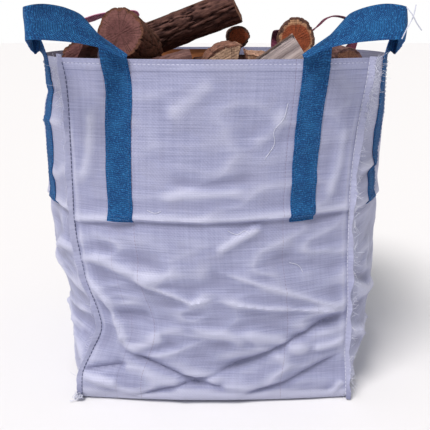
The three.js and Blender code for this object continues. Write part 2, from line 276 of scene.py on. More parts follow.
@dataclass
class MeshMaker:
    """Points, faces and markings of one piece while it is put together."""

    points: list[Array] = field(default_factory=list)
    corners: list[Array] = field(default_factory=list)
    sizes: list[Array] = field(default_factory=list)
    kinds: list[Array] = field(default_factory=list)
    uv: list[Array] = field(default_factory=list)
    depth: list[Array] = field(default_factory=list)
    count: int = 0

    def add_points(self, points: Array, depth: Array | None = None) -> int:
        """Adds points in mm and how deep each lies in its surface's relief; returns the first's number.

        Args:
            points: places, in mm.
            depth: how deep each lies, from 0 to 1; 0 if None.

        Returns:
            Number of the first point.
        """
        flat = points.reshape(-1, 3)
        first = self.count
        self.points.append(flat)
        self.depth.append(np.zeros(len(flat)) if depth is None else depth.reshape(-1))
        self.count += len(flat)
        return first

    def add_faces(self, faces: Array, uv: Array, kind: int | Array = 0) -> None:
        """Adds faces of equally many corners, with a UV in metres for each corner.

        Args:
            faces: point numbers, one row for each face.
            uv: place of each corner, in metres.
            kind: number of the material, the same or one for each face.
        """
        self.corners.append(faces.reshape(-1))
        self.sizes.append(np.full(len(faces), faces.shape[1]))
        self.kinds.append(np.broadcast_to(kind, (len(faces),)))
        self.uv.append(uv.reshape(-1, 2))

    def add_grid(self, numbers: Array, uv: Array, kind: int | Array = 0) -> None:
        """Adds the quads of a grid of point numbers; uv has the grid's shape and a last axis of two.

        Args:
            numbers: grid of point numbers.
            uv: grid of places, in metres.
            kind: number of the material, the same or one for each quad.
        """
        quads = np.stack([numbers[:-1, :-1], numbers[:-1, 1:], numbers[1:, 1:], numbers[1:, :-1]], -1)
        places = np.stack([uv[:-1, :-1], uv[:-1, 1:], uv[1:, 1:], uv[1:, :-1]], -2)
        self.add_faces(quads.reshape(-1, 4), places.reshape(-1, 4, 2), kind)

    def add_sheet(
        self, middle: Array, thickness: float | Array, uv: Array, kind: int = 0, depth: Array | None = None
    ) -> None:
        """Adds a closed sheet.

        Args:
            middle: grid of points halfway through the sheet, in mm.
            thickness: in mm, or a grid of thicknesses.
            uv: grid of cloth coordinates, in metres.
            kind: number of its material.
            depth: grid of how deep each point lies in a fold.
        """
        along, across = np.gradient(middle, axis=(0, 1))
        normal = unit(np.cross(across, along))
        half = np.broadcast_to(np.asarray(thickness, float) / 2, middle.shape[:2])[..., None]
        shape = middle.shape[:2]
        span = shape[0] * shape[1]
        top = self.add_points(middle + normal * half, depth) + np.arange(span).reshape(shape)
        bottom = self.add_points(middle - normal * half, depth) + np.arange(span).reshape(shape)
        self.add_grid(top, uv, kind)
        self.add_grid(bottom[:, ::-1], uv[:, ::-1], kind)
        for upper, lower, edge in (
            (top[0], bottom[0], uv[0]),
            (bottom[-1], top[-1], uv[-1]),
            (bottom[:, 0], top[:, 0], uv[:, 0]),
            (top[:, -1], bottom[:, -1], uv[:, -1]),
        ):
            self.add_grid(np.stack([lower, upper]), np.stack([edge, edge]), kind)

    def add_tube(self, path: Array, radius: float | Array, sides: int = 5, kind: int = 0) -> None:
        """Adds a closed thin tube along a path in mm, such as a thread.

        Args:
            path: points along its middle, in mm.
            radius: in mm, the same or one for each point.
            sides: how many sides it has.
            kind: number of its material.
        """
        ahead = unit(np.gradient(path, axis=0))
        helper = np.where(np.abs(ahead[:, 2:]) < 0.8, [[0.0, 0.0, 1.0]], [[0.0, 1.0, 0.0]])
        right = unit(np.cross(ahead, helper))
        up = np.cross(right, ahead)
        turn = np.arange(sides) * 2 * math.pi / sides
        size = np.broadcast_to(np.asarray(radius, float), (len(path),))[:, None, None]
        ring = right[:, None] * np.cos(turn)[:, None] + up[:, None] * np.sin(turn)[:, None]
        rows = path[:, None] + ring * size
        numbers = self.add_points(rows) + np.arange(len(path) * sides).reshape(len(path), sides)
        length = np.concatenate([[0], np.cumsum(np.linalg.norm(np.diff(path, axis=0), axis=1))])
        wrapped = np.concatenate([numbers, numbers[:, :1]], 1)
        u = np.broadcast_to(np.linspace(0, 2, sides + 1), wrapped.shape)
        v = np.broadcast_to(length[:, None], wrapped.shape)
        self.add_grid(wrapped, np.stack([u, v], -1) * MM, kind)
        self.add_faces(numbers[:1], np.zeros((1, sides, 2)), kind)
        self.add_faces(numbers[-1:, ::-1], np.zeros((1, sides, 2)), kind)

    def build(self, name: str, materials: Sequence[Material]) -> Piece:
        """Makes the object.

        Args:
            name: the piece's name.
            materials: its finishes, in the order of the faces' numbers.

        Returns:
            The new object, in the scene and riding on the bag.
        """
        mesh = bpy.data.meshes.new(name)
        points = np.concatenate(self.points) * MM
        corners = np.concatenate(self.corners).astype(np.int32)
        sizes = np.concatenate(self.sizes)
        starts = np.concatenate([[0], np.cumsum(sizes)[:-1]]).astype(np.int32)
        mesh.vertices.add(len(points))
        mesh.vertices.foreach_set("co", points.astype(np.float32).ravel())
        mesh.loops.add(len(corners))
        mesh.loops.foreach_set("vertex_index", corners)
        mesh.polygons.add(len(sizes))
        mesh.polygons.foreach_set("loop_start", starts)
        mesh.polygons.foreach_set("material_index", np.concatenate(self.kinds).astype(np.int32))
        mesh.polygons.foreach_set("use_smooth", np.ones(len(sizes), bool))
        layer = mesh.uv_layers.new(name="cut")
        layer.uv.foreach_set("vector", np.concatenate(self.uv).astype(np.float32).ravel())
        relief = mesh.attributes.new("depth", "FLOAT", "POINT")
        relief.data.foreach_set("value", np.concatenate(self.depth).astype(np.float32))
        mesh.update(calc_edges=True)
        mesh.validate()
        mesh.set_sharp_from_angle(angle=math.radians(50))
        for material in materials:
            mesh.materials.append(material)
        piece = bpy.data.objects.new(name, mesh)
        bpy.context.scene.collection.objects.link(piece)
        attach(piece, BODY)
        log.info("%s: %d points, %d faces", name, len(points), len(sizes))
        return piece


# ---- finishes -----------------------------------------------------------------------------


@dataclass(frozen=True)
class WovenPolypropylene:
    """Cloth woven from flat, slit polypropylene tapes."""

    name: str
    lit: str = "#a6a9ca"
    dull: str = "#8286a8"
    dust: str = "#9d9cb0"
    thread: str = "#6b4a5e"
    # Painted shade for fold valleys and the lowest part of the cloth, painted highlight for fold crests, and
    # how strongly each shows in the folds:
    shadow: str = "#6d6f90"
    crest_highlight: str = "#cfd1e6"
    valley: float = 0.62
    crest: float = 0.5
    tape: float = 3.4  # tapes are 2.6 mm wide; drawn coarser, so that the weave shows
    streak_length: float = 130.0
    streak_width: float = 2.8
    hemmed: bool = True
    marked: bool = False

    def material(self) -> Material:
        """Builds the cloth: tapes that differ a little in shade make level streaks across it.

        Returns:
            The new material.
        """
        material, tree = start_material(self.name)
        mm = cut_in_mm(tree)
        axes = add_node(tree, "SeparateXYZ", {0: mm})
        # Weft tapes lie level and each keeps its own gloss and shade for a hand's width.
        weft = add_node(
            tree, "Mapping", {"Vector": mm, "Scale": (1 / self.streak_length, 1 / self.streak_width, 1)}
        )
        weft_noise = add_node(
            tree, "TexNoise", {"Vector": weft, "Scale": 1.0, "Detail": 3.0, "Roughness": 0.65}
        )
        warp = add_node(tree, "Mapping", {"Vector": mm, "Scale": (1 / 5.0, 1 / 240.0, 1)})
        warp_noise = add_node(
            tree, "TexNoise", {"Vector": warp, "Scale": 1.0, "Detail": 2.0, "Roughness": 0.6}
        )
        streak = add_node(tree, "MapRange", {"Value": weft_noise, "From Min": 0.30, "From Max": 0.70})
        lines = add_node(tree, "MapRange", {"Value": warp_noise, "From Min": 0.3, "From Max": 0.7})
        tapes = add_node(tree, "Math", {0: streak, 1: 0.72}, operation="MULTIPLY")
        mixed = add_node(tree, "Math", {0: lines, 1: 0.28, 2: tapes}, operation="MULTIPLY_ADD")
        cloth = add_node(
            tree, "Mix", {"Factor": mixed, "A": linear(self.dull), "B": linear(self.lit)}, data_type="RGBA"
        )
        # Handling leaves faint grey smudges, most near the ground.
        smudge = add_node(tree, "TexNoise", {"Vector": mm, "Scale": 0.011, "Detail": 5.0, "Roughness": 0.6})
        near_ground = add_node(
            tree,
            "MapRange",
            {"Value": axes.outputs[1], "From Min": 0.0, "From Max": 420.0, "To Min": 0.75, "To Max": 0.56},
        )
        # Painted shade darkens the cloth over its lowest 56 mm, most at the ground.
        ground_shade = add_node(
            tree,
            "MapRange",
            {"Value": axes.outputs[1], "From Min": 56.0, "From Max": 4.0, "To Min": 0.0, "To Max": 0.8},
        )
        soiled = add_node(
            tree,
            "MapRange",
            {"Value": smudge, "From Min": 0.50, "From Max": near_ground, "To Min": 0.0, "To Max": 0.13},
            interpolation_type="SMOOTHSTEP",
        )
        colour = add_node(
            tree, "Mix", {"Factor": soiled, "A": cloth, "B": linear(self.dust)}, data_type="RGBA"
        )
        colour = add_node(
            tree, "Mix", {"Factor": ground_shade, "A": colour, "B": linear(self.shadow)}, data_type="RGBA"
        )
        # Painted shade darkens the valleys of the folds, and painted highlight makes their crests paler.
        fold = add_node(tree, "Attribute", attribute_name="depth").outputs[2]
        valley = add_node(
            tree, "MapRange", {"Value": fold, "From Min": 0.52, "From Max": 1.0, "To Max": self.valley}
        )
        crest = add_node(
            tree, "MapRange", {"Value": fold, "From Min": 0.48, "From Max": 0.0, "To Max": self.crest}
        )
        darker = add_node(
            tree, "Mix", {"Factor": valley, "A": colour, "B": linear(self.shadow)}, data_type="RGBA"
        )
        colour = add_node(
            tree, "Mix", {"Factor": crest, "A": darker, "B": linear(self.crest_highlight)}, data_type="RGBA"
        )
        # Each crossing of two tapes is a small pillow, crowned one way and then the other.
        turn = math.pi / self.tape
        over = add_node(tree, "Math", {0: axes.outputs[0], 1: turn}, operation="MULTIPLY")
        under = add_node(tree, "Math", {0: axes.outputs[1], 1: turn}, operation="MULTIPLY")
        sine_over = add_node(tree, "Math", {0: over}, operation="SINE")
        sine_under = add_node(tree, "Math", {0: under}, operation="SINE")
        weave = add_node(tree, "Math", {0: sine_over, 1: sine_under}, operation="MULTIPLY")
        relief = add_node(tree, "Math", {0: weft_noise, 1: 6.0, 2: weave}, operation="MULTIPLY_ADD")
        if self.hemmed:
            colour = self.draw_hem(tree, axes, colour)
        if self.marked:
            colour = self.draw_markers(tree, mm, axes, colour)
        bump = add_node(tree, "Bump", {"Strength": 0.5, "Distance": 0.0004, "Height": relief})
        gloss = add_node(tree, "MapRange", {"Value": weft_noise, "To Min": 0.40, "To Max": 0.58})
        shader = add_node(
            tree,
            "BsdfPrincipled",
            {"Base Color": colour, "Roughness": gloss, "IOR": 1.49, "Normal": bump, "Sheen Weight": 0.04},
        )
        add_node(tree, "OutputMaterial", {"Surface": shader})
        return material

    def draw_line(
        self, tree: NodeTree, value: Socket, at: float, width: float, under: Node,
        ink: str, strength: float, dashes: Node | None = None,
    ) -> Node:
        """Draws one straight thread line over a colour.

        Args:
            tree: node tree that it goes into.
            value: coordinate across the line, in mm.
            at: where the line runs, in mm.
            width: its width, in mm.
            under: colour below it.
            ink: the thread's colour.
            strength: how much it covers, from 0 to 1.
            dashes: what breaks it up, from 0 to 1.

        Returns:
            The node that holds the new colour.
        """
        inside = add_node(tree, "Math", {0: value, 1: at, 2: width / 2}, operation="COMPARE")
        cover = add_node(tree, "Math", {0: inside, 1: strength}, operation="MULTIPLY")
        if dashes is not None:
            cover = add_node(tree, "Math", {0: cover, 1: dashes}, operation="MULTIPLY")
        return add_node(tree, "Mix", {"Factor": cover, "A": under, "B": linear(ink)}, data_type="RGBA")

    def draw_hem(self, tree: NodeTree, axes: Node, colour: Node) -> Node:
        """Draws the rim's hem: the fold's lower edge, and one row of lock stitches above it.

        Args:
            tree: node tree that it goes into.
            axes: node that holds the cloth coordinates, in mm.
            colour: colour below it.

        Returns:
            The node that holds the new colour.
        """
        across, up = axes.outputs[0], axes.outputs[1]
        beat = add_node(tree, "Math", {0: across, 1: 2 * math.pi / 9.0}, operation="MULTIPLY")
        wave = add_node(tree, "Math", {0: beat}, operation="SINE")
        dashes = add_node(tree, "MapRange", {"Value": wave, "From Min": -0.5, "From Max": 0.1})
        colour = self.draw_line(tree, up, HEM_FOLD, 1.8, colour, "#75799a", 0.6)
        return self.draw_line(tree, up, HEM_STITCHES, 1.3, colour, "#d9dbec", 0.55, dashes)

    def draw_markers(self, tree: NodeTree, mm: Node, axes: Node, colour: Node) -> Node:
        """Draws the coloured warp threads that show where the webbing is sewn, and faint fold lines.

        Args:
            tree: node tree that it goes into.
            mm: node that holds the cloth coordinates as one vector.
            axes: node that holds the cloth coordinates, in mm.
            colour: colour below them.

        Returns:
            The node that holds the new colour.
        """
        across, up = axes.outputs[0], axes.outputs[1]
        beat = add_node(tree, "Math", {0: up, 1: 2 * math.pi / 7.5}, operation="MULTIPLY")
        wave = add_node(tree, "Math", {0: beat}, operation="SINE")
        dashes = add_node(tree, "MapRange", {"Value": wave, "From Min": -1.2, "From Max": 0.25})
        wander = add_node(tree, "TexNoise", {"Vector": mm, "Scale": 0.012})
        drift = add_node(tree, "Math", {0: wander, 1: 5.0, 2: across}, operation="MULTIPLY_ADD")
        for at, ink, strength in (
            (-160.0, self.thread, 0.5),
            (-216.0, self.thread, 0.25),
            (152.0, self.thread, 0.42),
            (221.0, "#8d90ac", 0.55),
            (-243.0, "#8d90ac", 0.4),
            (167.0, "#9a9db9", 0.3),
        ):
            value = next(s for s in drift.outputs if s.enabled)
            colour = self.draw_line(tree, value, at, 1.2, colour, ink, strength, dashes)
        return colour


@dataclass(frozen=True)
class WovenWebbing:
    """Flat webbing woven from thick dyed polypropylene yarn."""

    name: str
    # The light colour is worn yarn and painted highlight, the deep one painted shade:
    light: str
    body: str
    deep: str
    yarn: float = 4.2  # yarns lie 1.7 mm apart; drawn coarser, so that the twill shows

    def material(self) -> Material:
        """Builds the webbing: yarns in chevrons, painted shade in the grooves between them, and painted
        highlights as flecks on the light ones.

        Returns:
            The new material.
        """
        material, tree = start_material(self.name)
        mm = cut_in_mm(tree)
        axes = add_node(tree, "SeparateXYZ", {0: mm})
        # The twill turns back every quarter of the width, which draws chevrons.
        quarter = 13.0
        zigzag = add_node(tree, "Math", {0: axes.outputs[0], 1: quarter}, operation="PINGPONG")
        lean = add_node(tree, "Math", {0: zigzag, 1: 0.8, 2: axes.outputs[1]}, operation="MULTIPLY_ADD")
        beat = add_node(tree, "Math", {0: lean, 1: 2 * math.pi / self.yarn}, operation="MULTIPLY")
        twill = add_node(tree, "Math", {0: beat}, operation="SINE")
        column = add_node(
            tree, "Math", {0: axes.outputs[0], 1: 2 * math.pi / self.yarn}, operation="MULTIPLY"
        )
        ribs = add_node(tree, "Math", {0: column}, operation="SINE")
        yarns = add_node(tree, "Math", {0: twill, 1: ribs}, operation="MULTIPLY")
        fleck_map = add_node(tree, "Mapping", {"Vector": mm, "Scale": (1 / 2.6, 1 / 5.2, 1)})
        flecks = add_node(
            tree, "TexNoise", {"Vector": fleck_map, "Scale": 1.0, "Detail": 2.0, "Roughness": 0.7}
        )
        wear = add_node(tree, "TexNoise", {"Vector": mm, "Scale": 0.03, "Detail": 4.0, "Roughness": 0.6})
        # Painted highlight on flecks of yarn, and painted shade in the twill's grooves.
        bright = add_node(
            tree,
            "MapRange",
            {"Value": flecks, "From Min": 0.50, "From Max": 0.66},
            interpolation_type="SMOOTHSTEP",
        )
        dark = add_node(
            tree, "MapRange", {"Value": yarns, "From Min": 0.0, "From Max": -0.85, "To Max": 0.75}
        )
        worn = add_node(tree, "MapRange", {"Value": wear, "From Min": 0.42, "From Max": 0.66, "To Max": 0.4})
        base = add_node(
            tree, "Mix", {"Factor": worn, "A": linear(self.body), "B": linear(self.light)}, data_type="RGBA"
        )
        lit = add_node(tree, "Mix", {"Factor": bright, "A": base, "B": linear(self.light)}, data_type="RGBA")
        colour = add_node(tree, "Mix", {"Factor": dark, "A": lit, "B": linear(self.deep)}, data_type="RGBA")
        height = add_node(tree, "Math", {0: flecks, 1: 0.8, 2: yarns}, operation="MULTIPLY_ADD")
        bump = add_node(tree, "Bump", {"Strength": 0.8, "Distance": 0.0011, "Height": height})
        shader = add_node(
            tree,
            "BsdfPrincipled",
            {"Base Color": colour, "Roughness": 0.8, "IOR": 1.49, "Normal": bump, "Specular IOR Level": 0.3},
        )
        add_node(tree, "OutputMaterial", {"Surface": shader})
        return material


@dataclass(frozen=True)
class SpunThread:
    """Twisted synthetic sewing thread."""

    name: str
    colour: str
    shade: str

    def material(self) -> Material:
        """Builds the thread: its plies wind round it as fine slanting bands.

        Returns:
            The new material.
        """
        material, tree = start_material(self.name)
        mm = cut_in_mm(tree)
        wave = add_node(
            tree, "TexWave", {"Vector": mm, "Scale": 0.32, "Distortion": 1.5}, bands_direction="DIAGONAL"
        )
        colour = add_node(
            tree,
            "Mix",
            {"Factor": wave.outputs[1], "A": linear(self.shade), "B": linear(self.colour)},
            data_type="RGBA",
        )
        bump = add_node(tree, "Bump", {"Strength": 0.4, "Distance": 0.0003, "Height": wave.outputs[1]})
        shader = add_node(
            tree,
            "BsdfPrincipled",
            {"Base Color": colour, "Roughness": 0.6, "IOR": 1.49, "Normal": bump, "Sheen Weight": 0.2},
        )
        add_node(tree, "OutputMaterial", {"Surface": shader})
        return material


@dataclass(frozen=True)
class WoodColours:
    """Colours of one kind of log: bark on its ridges and in its furrows, sapwood, heart and split grain."""

    bark_ridge: str
    bark_furrow: str
    bark_patch: str
    sapwood: str
    heartwood: str
    ring: str
    split_pale: str
    split_dark: str
    heart_share: float = 26.0  # mm from the pith to where the sapwood starts
    ringed: float = 0.45  # how far the rings show


class LogWood(Enum):
    """The kinds of log in the bag."""

    FURROWED = WoodColours(
        "#74524a", "#28171a", "#573b37", "#a5765c", "#8b5a45", "#5d3a2c", "#9b7462", "#6b4a3e"
    )
    RUSSET = WoodColours(
        "#77503f", "#35201b", "#8a5a4a", "#7d5350", "#6b4443", "#55383a", "#8d6158", "#5a3937", ringed=0.12
    )
    ORANGE = WoodColours(
        "#6f5046",
        "#33231f",
        "#8a6455",
        "#c79a78",
        "#9c5032",
        "#6b3624",
        "#c07c52",
        "#8a5536",
        heart_share=29.0,
    )
    PALE = WoodColours("#75615a", "#40332f", "#8b7770", "#cbb8ab", "#aa9080", "#8b7264", "#d3c5c4", "#b8a5a4")
    TAN = WoodColours("#8a5f50", "#45302a", "#9d7362", "#bb9a83", "#9c765f", "#76563f", "#c39a83", "#8e6a57")
    BROWN = WoodColours(
        "#735350", "#362524", "#8a6863", "#a37c67", "#825b49", "#5e4032", "#957062", "#684a3e"
    )


@dataclass(frozen=True)
class Bark:
    """Rough outer bark of a seasoned hardwood log."""

    wood: LogWood

    def material(self) -> Material:
        """Builds the bark: pale worn plates between furrows that painted shade makes dark, mottled across a
        palm's width.

        Returns:
            The new material.
        """
        tones = self.wood.value
        material, tree = start_material("furrowed_bark_" + self.wood.name.lower())
        mm = cut_in_mm(tree)
        deep = add_node(tree, "Attribute", attribute_name="depth").outputs[2]
        # Plates are three or four times as long as wide, because the bark splits as the trunk swells.
        plates = add_node(tree, "Mapping", {"Vector": mm, "Scale": (1 / 22, 1 / 6.5, 1)})
        cracks = add_node(tree, "TexNoise", {"Vector": plates, "Scale": 1.0, "Detail": 5.0, "Roughness": 0.7})
        blotch = add_node(tree, "TexNoise", {"Vector": mm, "Scale": 0.035, "Detail": 4.0, "Roughness": 0.65})
        flaky = add_node(
            tree, "MapRange", {"Value": cracks, "From Min": 0.62, "From Max": 0.36, "To Max": 0.75}
        )
        # Painted shade darkens the furrows and the cracks between the plates.
        shade = add_node(tree, "Math", {0: deep, 1: flaky}, operation="MAXIMUM")
        patchy = add_node(
            tree, "MapRange", {"Value": blotch, "From Min": 0.46, "From Max": 0.62, "To Max": 0.8}
        )
        plate = add_node(
            tree,
            "Mix",
            {"Factor": patchy, "A": linear(tones.bark_ridge), "B": linear(tones.bark_patch)},
            data_type="RGBA",
        )
        colour = add_node(
            tree, "Mix", {"Factor": shade, "A": plate, "B": linear(tones.bark_furrow)}, data_type="RGBA"
        )
        bump = add_node(tree, "Bump", {"Strength": 0.8, "Distance": 0.003, "Height": cracks})
        shader = add_node(
            tree,
            "BsdfPrincipled",
            {"Base Color": colour, "Roughness": 0.9, "IOR": 1.45, "Normal": bump, "Specular IOR Level": 0.25},
        )
        add_node(tree, "OutputMaterial", {"Surface": shader})
        return material


@dataclass(frozen=True)
class SawnEnd:
    """End grain left by a chainsaw."""

    wood: LogWood
    ring_spacing: float = 4.0  # rings are 2 to 3 mm apart; drawn coarser, so that they show

    def material(self) -> Material:
        """Builds the end grain: year rings round the pith, drying cracks that run out from it, saw marks.

        Returns:
            The new material.
        """
        tones = self.wood.value
        material, tree = start_material("sawn_end_grain_" + self.wood.name.lower())
        mm = cut_in_mm(tree)
        wobble = add_node(tree, "TexNoise", {"Vector": mm, "Scale": 0.05, "Detail": 2.0})
        radius = add_node(tree, "VectorMath", {0: mm}, operation="LENGTH").outputs[1]
        uneven = add_node(tree, "Math", {0: wobble, 1: 9.0, 2: radius}, operation="MULTIPLY_ADD")
        beat = add_node(tree, "Math", {0: uneven, 1: 2 * math.pi / self.ring_spacing}, operation="MULTIPLY")
        rings = add_node(tree, "Math", {0: beat}, operation="SINE")
        late = add_node(
            tree, "MapRange", {"Value": rings, "From Min": 0.2, "From Max": 1.0, "To Max": tones.ringed}
        )
        heart = add_node(
            tree,
            "MapRange",
            {"Value": uneven, "From Min": tones.heart_share + 3, "From Max": tones.heart_share + 9},
            interpolation_type="SMOOTHSTEP",
        )
        wood = add_node(
            tree,
            "Mix",
            {"Factor": heart, "A": linear(tones.heartwood), "B": linear(tones.sapwood)},
            data_type="RGBA",
        )
        ringed = add_node(tree, "Mix", {"Factor": late, "A": wood, "B": linear(tones.ring)}, data_type="RGBA")
        way = add_node(tree, "VectorMath", {0: mm}, operation="NORMALIZE")
        spokes = add_node(tree, "TexNoise", {"Vector": way, "Scale": 3.4, "Detail": 3.0, "Roughness": 0.7})
        crack = add_node(tree, "Math", {0: spokes, 1: 0.5, 2: 0.012}, operation="COMPARE")
        mottle = add_node(tree, "TexNoise", {"Vector": mm, "Scale": 0.16, "Detail": 4.0, "Roughness": 0.7})
        dirty = add_node(
            tree, "MapRange", {"Value": mottle, "From Min": 0.48, "From Max": 0.68, "To Max": 0.6}
        )
        marked = add_node(tree, "Math", {0: crack, 1: 0.8}, operation="MULTIPLY")
        darker = add_node(tree, "Math", {0: marked, 1: dirty}, operation="MAXIMUM")
        colour = add_node(
            tree, "Mix", {"Factor": darker, "A": ringed, "B": linear(tones.bark_furrow)}, data_type="RGBA"
        )
        cut = add_node(
            tree, "Mapping", {"Vector": mm, "Scale": (1 / 30, 1 / 2.4, 1), "Rotation": (0, 0, 0.5)}
        )
        teeth = add_node(tree, "TexNoise", {"Vector": cut, "Scale": 1.0, "Detail": 3.0})
        bump = add_node(tree, "Bump", {"Strength": 0.5, "Distance": 0.0012, "Height": teeth})
        shader = add_node(
            tree,
            "BsdfPrincipled",
            {"Base Color": colour, "Roughness": 0.85, "IOR": 1.45, "Normal": bump, "Specular IOR Level": 0.3},
        )
        add_node(tree, "OutputMaterial", {"Surface": shader})
        return material


@dataclass(frozen=True)
class SplitFace:
    """Face along the grain, torn open by an axe or a wedge."""

    wood: LogWood

    def material(self) -> Material:
        """Builds the split face: long torn fibres, pale where fresh and dark where resin or dirt lies, with
        painted shade in the grooves between fibres.

        Returns:
            The new material.
        """
        tones = self.wood.value
        material, tree = start_material("split_grain_" + self.wood.name.lower())
        mm = cut_in_mm(tree)
        fibre_map = add_node(tree, "Mapping", {"Vector": mm, "Scale": (1 / 85, 1 / 3.2, 1)})
        fibres = add_node(
            tree, "TexNoise", {"Vector": fibre_map, "Scale": 1.0, "Detail": 5.0, "Roughness": 0.65}
        )
        band_map = add_node(tree, "Mapping", {"Vector": mm, "Scale": (1 / 150, 1 / 17, 1)})
        bands = add_node(tree, "TexNoise", {"Vector": band_map, "Scale": 1.0, "Detail": 2.0})
        grain = add_node(tree, "Math", {0: fibres, 1: 0.6}, operation="MULTIPLY")
        tone = add_node(tree, "Math", {0: bands, 1: 0.5, 2: grain}, operation="MULTIPLY_ADD")
        pale = add_node(tree, "MapRange", {"Value": tone, "From Min": 0.42, "From Max": 0.66})
        wood = add_node(
            tree,
            "Mix",
            {"Factor": pale, "A": linear(tones.split_dark), "B": linear(tones.split_pale)},
            data_type="RGBA",
        )
        # Painted shade darkens the grooves between the fibres; more darkening follows the torn relief.
        deep = add_node(tree, "Attribute", attribute_name="depth").outputs[2]
        lines = add_node(
            tree, "MapRange", {"Value": fibres, "From Min": 0.42, "From Max": 0.30, "To Max": 0.8}
        )
        shaded = add_node(tree, "Math", {0: deep, 1: 0.45, 2: lines}, operation="MULTIPLY_ADD")
        colour = add_node(
            tree, "Mix", {"Factor": shaded, "A": wood, "B": linear(tones.bark_furrow)}, data_type="RGBA"
        )
        bump = add_node(tree, "Bump", {"Strength": 0.7, "Distance": 0.002, "Height": fibres})
        shader = add_node(
            tree,
            "BsdfPrincipled",
            {"Base Color": colour, "Roughness": 0.8, "IOR": 1.45, "Normal": bump, "Specular IOR Level": 0.3},
        )
        add_node(tree, "OutputMaterial", {"Surface": shader})
        return material


@dataclass(frozen=True)
class PaintedFloor:
    """Studio floor of matt paint."""

    tone: str = "#e6e6e9"

    def material(self) -> Material:
        """Builds the floor: an even pale matt with a breath of roller texture.

        Returns:
            The new material.
        """
        material, tree = start_material("matt_painted_floor")
        place = add_node(tree, "TexCoord").outputs["Object"]
        roller = add_node(tree, "TexNoise", {"Vector": place, "Scale": 60.0, "Detail": 3.0})
        bump = add_node(tree, "Bump", {"Strength": 0.05, "Distance": 0.0005, "Height": roller})
        shader = add_node(
            tree, "BsdfPrincipled", {"Base Color": linear(self.tone), "Roughness": 0.8, "Normal": bump}
        )
        add_node(tree, "OutputMaterial", {"Surface": shader})
        return material


# ---- the walls' shape ---------------------------------------------------------------------


class Side(Enum):
    """The four upright walls of the bag, each with the sign of the axis that it faces along."""

    FRONT = ("end", -1)
    BACK = ("end", 1)
    LEFT = ("side", -1)
    RIGHT = ("side", 1)


@dataclass(frozen=True)
class Crease:
    """A fold line in the cloth, through (across, height) points of a wall."""

    points: tuple[tuple[float, float], ...]
    height: float  # mm that the fold stands out, or lies in when negative
    width: float  # mm from the fold's line to its foot
    sharp: bool = False
    step: float = 0.0  # mm that the cloth on the line's upper or left side stands prouder
    open_ends: bool = False  # the fold runs on into the seams at full height

    def relief(self, across: Array, height: Array) -> Array:
        """How far the fold moves the cloth out at each place, in mm.

        Args:
            across: distance across the wall, in mm.
            height: height, in mm.

        Returns:
            Distance in mm, inwards when negative.
        """
        line = np.array(self.points, float)
        spans = np.linalg.norm(np.diff(line, axis=0), axis=1)
        total = spans.sum()
        nearest = np.full(across.shape, 1e9)
        signed = np.zeros(across.shape)
        share = np.zeros(across.shape)
        done = 0.0
        for (x0, z0), (x1, z1), span in zip(line[:-1], line[1:], spans):
            ahead_x, ahead_z = (x1 - x0) / span, (z1 - z0) / span
            along = np.clip((across - x0) * ahead_x + (height - z0) * ahead_z, 0, span)
            off_x = across - x0 - along * ahead_x
            off_z = height - z0 - along * ahead_z
            distance = np.hypot(off_x, off_z)
            closer = distance < nearest
            side = np.sign(ahead_x * off_z - ahead_z * off_x)
            nearest = np.where(closer, distance, nearest)
            signed = np.where(closer, distance * side, signed)
            share = np.where(closer, (done + along) / total, share)
            done += span
        reach = nearest / self.width
        shape = np.exp(-1.25 * reach) if self.sharp else np.exp(-reach * reach)
        ledge = np.tanh(signed / 2.6) * np.exp(-((signed / (2.0 * self.width)) ** 2))
        fade = 1.0 if self.open_ends else smoothstep(0, 0.22, share) * smoothstep(1, 0.78, share)
        return (self.height * shape + self.step * ledge) * fade


